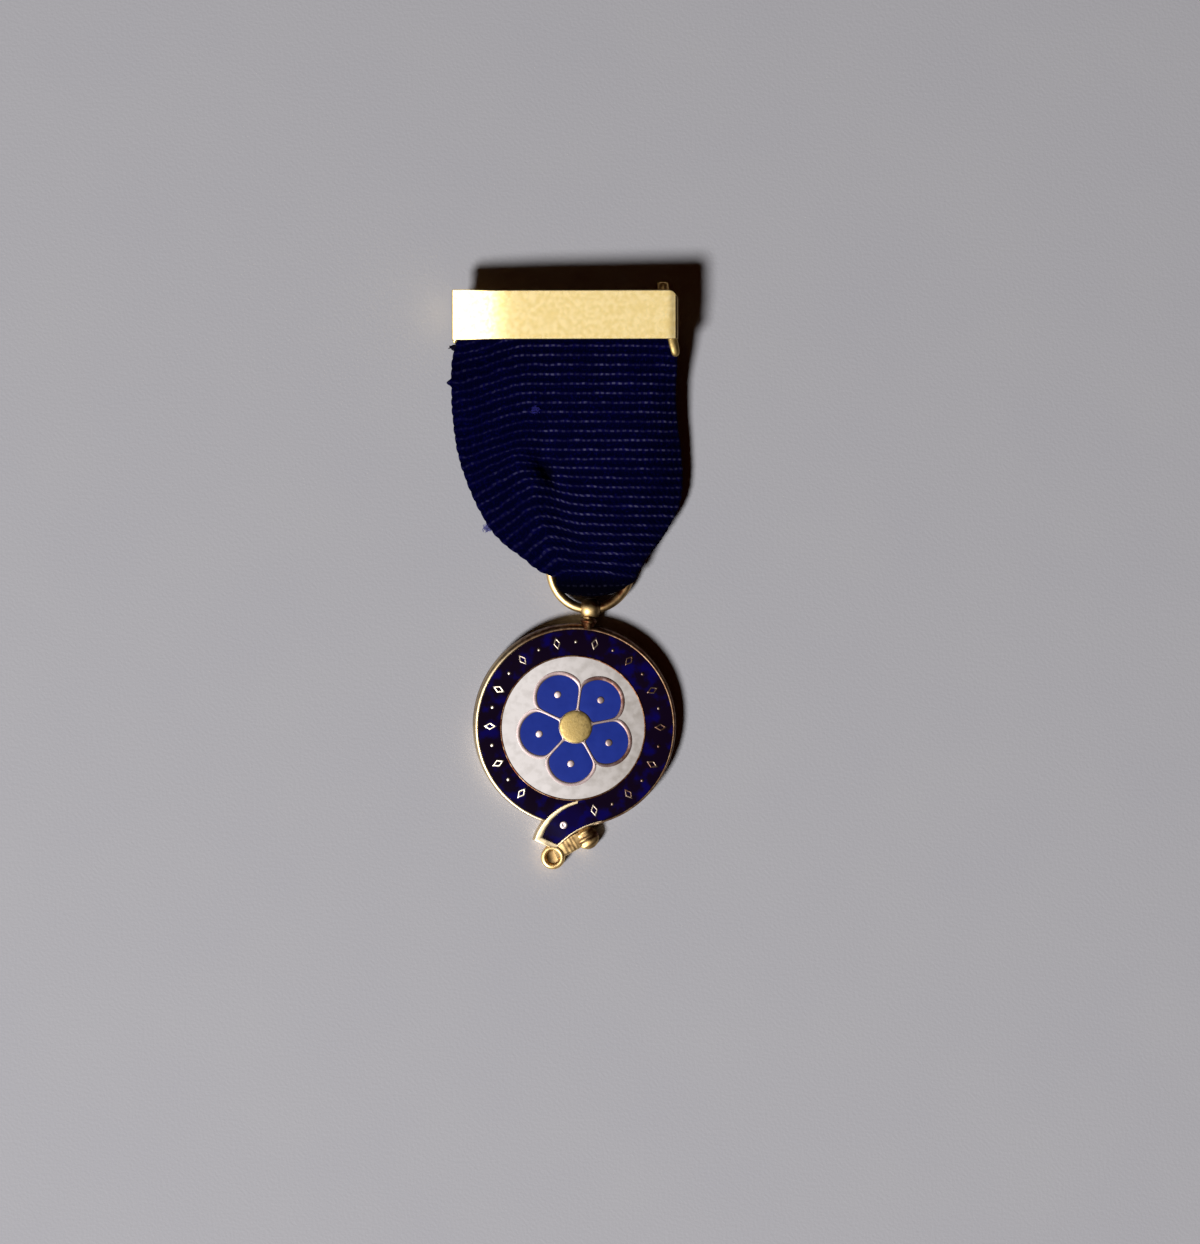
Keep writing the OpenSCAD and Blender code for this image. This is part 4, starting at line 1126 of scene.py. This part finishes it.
def ring_guides(a):
    """Half turn in the ring: y = middle - r sin a, bowed up at the sides, z = middle + r cos a. How far
    the cloth reaches to each side is read off the two lists, from the face to the back."""
    left, right = (np.interp(a, np.linspace(0, np.pi, 7), half) for half in (FOLD_LEFT, FOLD_RIGHT))
    x = row_of(FOLD_X - left, FOLD_X + right)
    sin, cos = np.sin(a)[:, None], np.cos(a)[:, None]
    y = FOLD_Y - FOLD_R * sin + sin * (x - FOLD_X) ** 2 * np.where(x < FOLD_X, BOW_LEFT, BOW_RIGHT)
    z = FOLD_MID + FOLD_R * cos + 0 * x
    return np.stack([x, y, z], -1), np.stack([0 * a, -np.sin(a), np.cos(a)], -1)


def back_guides(at):
    """Level rows of the back layer, at the level that the table gives."""
    left, right, level = (column(BACK, k, at) for k in (1, 2, 3))
    slope = column(BACK, 3, at + 0.5) - column(BACK, 3, at - 0.5)
    x = row_of(left, right)
    rows = np.stack([x, at[:, None] + 0 * x, LYING + level[:, None] + 0 * x], -1)
    return rows, unit(np.stack([0 * slope, slope, -1 + 0 * slope], -1))


def top_guides(a):
    """Half turn round the strip in the bar: y = middle + r sin a, z = middle - r cos a."""
    x = row_of(np.full(len(a), TOP_LEFT), np.full(len(a), TOP_RIGHT))
    sin, cos = np.sin(a)[:, None], np.cos(a)[:, None]
    y, z = TOP_Y + TOP_R * sin + 0 * x, TOP_MID - TOP_R * cos - under_bar(x) * (1 - cos) / 2
    return np.stack([x, y, z], -1), np.stack([0 * a, np.sin(a), -np.cos(a)], -1)


# %% Lay the rows one after another
ROWS_A_RIB = 8
visible = FIRST_RIB - RIB * np.arange(-ROWS_A_RIB, 196) / ROWS_A_RIB
visible = visible[visible > INTO_RING]
sections = [
    face_guides(np.linspace(49.0, visible[0] + 0.3, 9)),
    face_guides(visible),
    ring_guides(np.radians(np.linspace(0, 180, 19))),
    back_guides(np.linspace(INTO_RING, 44.8, 102)),
    back_guides(np.linspace(45.4, TOP_Y, 8)),
    top_guides(np.radians(np.linspace(20, 160, 8))),
]
guides, outward = (np.concatenate(rows) for rows in zip(*sections))
first_visible = len(sections[0][0])
print("ribbon rows:", len(guides), "of which on the face:", len(visible))

# %% [markdown]
# Now each thread is laid along its guide. The guide runs to the right on the face side of the layer,
# turns over a small radius, and comes back on the other side. Where the way back is shorter than what is
# left of the thread, as in the ring, the rest is gathered evenly.

# %% Lay each thread by its length
FINE = [0.0, 0.04, 0.1, 0.19]
threads = np.concatenate([FINE, np.linspace(0.3, BAND - 0.3, 112), BAND - np.array(FINE[::-1])])
turn = np.linspace(0, np.pi, 9)[1:-1]


def folded_guides(guides, outward):
    """Face side of the layer left to right, half turn of radius LAYER, then the other side back."""
    out = outward[:, None]
    face, under = guides + LAYER * out, (guides - LAYER * out)[:, ::-1]
    edge = guides[:, -1:]
    sideways = np.array([1.0, 0.0, 0.0])
    bend = edge + LAYER * (np.cos(turn)[:, None] * out + np.sin(turn)[:, None] * sideways)
    return np.concatenate([face, bend, under], axis=1)


def lay_threads(path):
    """Each row of the path read off at the threads' lengths; the part past the turn shrinks to fit."""
    step = np.linalg.norm(np.diff(path, axis=1), axis=2)
    length = np.concatenate([np.zeros((len(path), 1)), np.cumsum(step, axis=1)], axis=1)
    turned_at = length[:, GUIDE + len(turn)]
    room = (length[:, -1] - turned_at - 0.5) / np.maximum(BAND - turned_at, 0.01)
    shrink = np.minimum(1.0, room)[:, None]
    at = np.minimum(threads, turned_at[:, None])
    at = at + np.maximum(threads - turned_at[:, None], 0) * shrink
    laid_rows = [[np.interp(a, l, p[:, k]) for k in range(3)] for a, l, p in zip(at, length, path)]
    return np.array(laid_rows).transpose(0, 2, 1)


middle = lay_threads(folded_guides(guides, outward))
print("threads across:", middle.shape[1], "widest row in mm:",
      round(float(np.ptp(middle[..., 0], axis=1).max()), 2))

# %% [markdown]
# The rows are numbered in ribs, whole numbers on the crests, by their distance along one warp thread. The
# cloth's thickness follows: it swells on a crest and pinches in the groove between two. Both sides get
# it, along the surface's own normals. The edges are rounded off and pushed out a little at every rib,
# which gives the band its fine scalloped edge, and a snag sticks out at the left.

# %% Number the ribs
COUNTED_ON = 40
steps = np.linalg.norm(np.diff(middle[:, COUNTED_ON], axis=0), axis=1)
ribs = np.concatenate([[0.0], np.cumsum(steps)]) / RIB
after = first_visible + len(visible)
face_rows = slice(first_visible, after)
ribs += (FIRST_RIB - visible[0]) / RIB - ribs[first_visible]
ribs[face_rows] = (FIRST_RIB - visible) / RIB
ribs[after:] += ribs[after - 1] + steps[after - 1] / RIB - ribs[after]
crest = np.abs(np.cos(np.pi * ribs)) ** 0.8
print("ribs on the face:", round(float(np.ptp(ribs[face_rows])), 1))

# %% Thickness and edges
SNAG_Y, SNAG_W, SNAG_DEPTH = 39.6, 0.33, 0.5
EDGE_ROUND, EDGE_WAVE, EDGE_UNEVEN, EDGE_REACH = 0.25, 0.10, 0.03, 0.4

rng = np.random.default_rng(7)
rib_jitter = np.interp(ribs, np.arange(-10, 90), rng.normal(0, 1, 100))
across = np.gradient(middle, axis=1)
along = np.roll(middle, -1, axis=0) - np.roll(middle, 1, axis=0)
normal = unit(np.cross(along, across))
if normal[first_visible + 50, 60, 2] < 0:
    normal = -normal
edge = np.minimum(threads, BAND - threads) / EDGE_ROUND
rounded = np.sqrt(1 - (1 - np.clip(edge, 0.02, 1)) ** 2)
half = (CLOTH_T / 2 + RIB_H * crest[:, None]) * rounded
scallop = -(EDGE_WAVE * crest + EDGE_UNEVEN * rib_jitter)[:, None] * np.exp(-threads / EDGE_REACH)
snag = np.zeros(len(middle))
snag[face_rows] = SNAG_DEPTH * np.exp(-((middle[face_rows, 0, 1] - SNAG_Y) / SNAG_W) ** 2)
scallop -= snag[:, None] * np.exp(-threads / 0.6)
shifted = middle + unit(across) * scallop[..., None]
outer, inner = shifted + normal * half[..., None], shifted - normal * half[..., None]
band_grid = np.concatenate([outer, inner[:, ::-1]], axis=1)
print("lowest and highest point:", band_grid[..., 2].min().round(2), band_grid[..., 2].max().round(2))

# %% [markdown]
# The weave shows as rows of tiny pale dashes, painted glints: on every rib the light catches each bundle
# of warp threads. Two numbers on every point, its thread and its rib, let the material draw them where the
# cloth goes, through folds and all. The dye is so dark that only these glints and a little blue fuzz show.
# Noise makes the rows waver, more where the cloth is gathered at the left, and they fade there, in the
# fold round the ring and in the hollow that is pressed in beside the ridge. Painted shade darkens the
# grooves, the fold and the hollow, and a faint painted highlight runs along each crest.

# %% Waves of threads and ribs
BUNDLE, FINE_THREADS = 0.70, 0.175
GATHERED_BELOW, GATHERED_SLANT = 0.0285, 0.55

navy = Finish("navy_ribbon", (0.004, 0.003, 0.03), 0.9, Specular_IOR_Level=0.02)
thread_no, rib_no = navy.coordinates(navy.stored("weave")["Vector"])[:2]
place_x, place_y = navy.coordinates()[:2]
below = navy.math("MINIMUM", navy.math("SUBTRACT", place_y, GATHERED_BELOW), 0.0)
beside = navy.math("MULTIPLY_ADD", below, GATHERED_SLANT, place_x)
wobble = navy.times(navy.math("SUBTRACT", navy.noise(1.3, 4.0), 0.5),
                    navy.ramp(beside, -0.012, -0.002, 0.75, 0.28))
thread = navy.math("ADD", thread_no, navy.math("MULTIPLY_ADD", navy.noise(0.9, 2.0), 0.5, -0.25))
rib = navy.math("ADD", rib_no, wobble)
wave_across, fine_across, wave_along = (
    navy.math("COSINE", navy.times(number, 2 * np.pi / length))
    for number, length in ((thread, BUNDLE), (thread, FINE_THREADS), (rib, 1.0)))

# %% Where the glints show
HOLLOW_SHADE_AT = (-0.0034, 0.0293, 0.0029)
patchy = navy.math("MULTIPLY_ADD", navy.spots(2.6, 3.0, 0.38, 0.62), 0.8, 0.2)
lucky = navy.spots(0.6, 1.0, 0.42, 0.62, 0.35, 1.0)
flat_part = navy.ramp(beside, -0.010, -0.003, 0.22, 1.0)
off_fold = navy.ramp(place_y, 0.0158, 0.0182, 0.12, 1.0)
lit_outside_hollow = navy.ramp(navy.far_from(HOLLOW_SHADE_AT), 0.0006, 0.0020, 0.08, 1.0)
shown = navy.times(patchy, lucky, flat_part, off_fold, lit_outside_hollow)
glint = navy.times(navy.ramp(wave_across, -0.8, 0.85), navy.ramp(wave_along, 0.66, 0.98), shown)

# %% Ribbon colours
fuzz = navy.spots(1.3, 5.0, 0.50, 0.78)
base = navy.blend(fuzz, (0.0004, 0.0004, 0.019), (0.0010, 0.0008, 0.040))
# Painted shade: the grooves between the ribs are darker.
base = navy.blend(navy.ramp(wave_along, -0.8, 0.8), (0.0002, 0.0004, 0.0135), base)
# A faint painted highlight along each crest, stronger where the glints show.
line = navy.times(navy.ramp(wave_along, 0.5, 0.99), navy.math("MULTIPLY_ADD", shown, 0.5, 0.1))
base = navy.blend(line, base, (0.018, 0.015, 0.12))
base = navy.blend(navy.spots(0.28, 3.0, 0.50, 0.78, 0.0, 0.7), base, (0.002, 0.0015, 0.070))
# Painted shade in the hollow beside the ridge, where the glints also fade.
base = navy.blend(lit_outside_hollow, (0.0002, 0.0002, 0.004), base)
# Painted shade in the fold round the ring, low down.
base = navy.blend(navy.ramp(place_y, 0.0160, 0.0180), (0.0003, 0.0002, 0.003), base)
navy.colour(navy.blend(glint, base, (0.088, 0.086, 0.165)))
navy.bump(navy.math("ADD", navy.times(wave_across, 0.5), navy.times(fine_across, 0.35)), 0.03)
navy.grain(0.12, 3.0, 0.03)
print("ribbon finish:", len(navy.nodes), "nodes")

# %% Ribbon mesh
band = make("ribbon_band", [skin(band_grid, wrap=True)], navy.material, smooth_under=80.0)
both = np.concatenate([threads, threads[::-1]])
weave_at = np.stack(np.broadcast_arrays(both[None, :], ribs[:, None], 0.0), -1)
numbers = band.data.attributes.new("weave", "FLOAT_VECTOR", "POINT")
numbers.data.foreach_set("vector", weave_at.reshape(-1).astype(np.float32))
dress(band, "ribbon_blue", "ribbon")

# %% [markdown]
# ## Loose threads
# An old ribbon has a snag on its left edge, frayed ends under the bar's corner and some paler fluff. Each
# is a bunch of fibres: thin tubes along random curved paths that start inside the cloth. Those near the
# bar are dark, and the lowest are the palest.

# %% Loose threads
def fibres(root, tip, count, spread, thin):
    """Tubes from near a root to near a tip: straight lines plus a sideways bow of random size."""
    t = np.linspace(0, 1, 9)[:, None]
    root, tip = np.array(root), np.array(tip)
    tubes = []
    for start, end, bow in rng.normal(0, 1, (count, 3, 3)) * [1, 1, 0.4] * spread:
        path = (root + start * 0.4) * (1 - t) + (tip + end) * t + bow * np.sin(np.pi * t)
        tubes.append(skin(tube(path, thin, thin, around=6)))
    return tubes


# Bunches. Columns: start, end, how many fibres, how far they spread, how thick each is
BUNCHES = [
    ((-13.9, 39.5, 4.0), (-14.55, 39.6, 3.95), 12, 0.12, 0.045),
    ((-13.4, 43.75, 3.7), (-14.25, 43.65, 3.6), 44, 0.13, 0.06),
    ((-9.7, 23.3, 3.25), (-10.2, 22.85, 3.2), 64, 0.22, 0.03),
    ((-4.9, 36.7, 4.5), (-4.5, 36.4, 4.7), 48, 0.2, 0.03),
]
thread_shells = [shell for bunch in BUNCHES for shell in fibres(*bunch)]
fluff = Finish("blue_fluff", (0.012, 0.012, 0.12), 0.9, Specular_IOR_Level=0.1)
up_ribbon = fluff.coordinates()[1]
faded = fluff.blend(fluff.ramp(up_ribbon, 0.026, 0.030), (0.16, 0.16, 0.40), (0.035, 0.032, 0.26))
fluff.colour(fluff.blend(fluff.ramp(up_ribbon, 0.038, 0.039), faded, (0.003, 0.002, 0.010)))
dress(make("loose_threads", thread_shells, fluff.material, 60.0), "ribbon_blue")

# %% [markdown]
# ## Lamps for the gilt
# Flat gilt shows whatever is straight above it. The bar gets a wide lamp there, and one at the left that
# only its bent quarter mirrors. The medal gets a small one quite near, beyond its left rim, so that its
# gilt is bright at the left and dies away to the right. The round pieces also get a wide one low at the
# left, which broadens their highlights, and a faint near one whitens the ground's left. Five low lamps
# stand round the bar, for whoever walks round the badge: seen from low down, the bar mirrors what is low
# on the far side. Light linking keeps them all off the paper and the cloth: a lamp's receivers are a
# collection of pieces.

# %% Lamps above the gilt
def lights_only(made, names):
    """Limits a lamp to the pieces that are named."""
    receivers = bpy.data.collections.new(made.name + "_lights")
    for name in names:
        receivers.objects.link(bpy.data.objects[name])
    made.light_linking.receiver_collection = receivers


BAR_PIECES = ("bar_front", "bar_tongue", "pin_fitting")
ROUND_PIECES = ("ring_wire", "neck_and_bead", "tail_gilt", "buckle")
MEDAL_PIECES = ("medal_disc", "strap_motifs", "blossom_lines", "blossom_boss", "dots")
# Columns: name, aim in mm, direction, distance and width in metres, watts, colour, the pieces it lights
LAMPS = [
    ("bar_lamp", (-1.2, 47.6, 5.8), (-0.06, -0.05, 1.0), 1.0, 0.5, 0.55, (1.0, 0.98, 0.95), BAR_PIECES),
    ("bar_glint", (-10, 47.6, 4.6), (-0.9, -0.05, 1.0), 0.5, 0.60, 3.3, (1.0, 0.98, 0.97), BAR_PIECES[:1]),
    ("medal_lamp", (0, 0, 2), (-22, -6, 50), 0.055, 0.012, 0.012, (1.0, 0.97, 0.92),
     ROUND_PIECES + MEDAL_PIECES),
    ("glow_lamp", (0, 0, 2), (-30, -12, 25), 0.04, 0.012, 0.0019, (1.0, 0.97, 0.95), ("white_ground",)),
    ("side_lamp", (1, 0, 2), (-1.0, -0.5, 0.55), 0.3, 0.55, 0.80, (1.0, 0.97, 0.92), ROUND_PIECES),
]
LOW_LAMPS = 5
for k, turned_by in enumerate(np.arange(LOW_LAMPS) * 2 * np.pi / LOW_LAMPS + 0.6):
    around = (np.cos(turned_by), np.sin(turned_by), 0.38)
    LAMPS.append((f"low_lamp_{k + 1}", (0, 30, 2), around, 0.6, 0.6, 0.36, (1.0, 0.98, 0.95),
                  BAR_PIECES[:1]))
for *light, names in LAMPS:
    lights_only(lamp(*light), names)
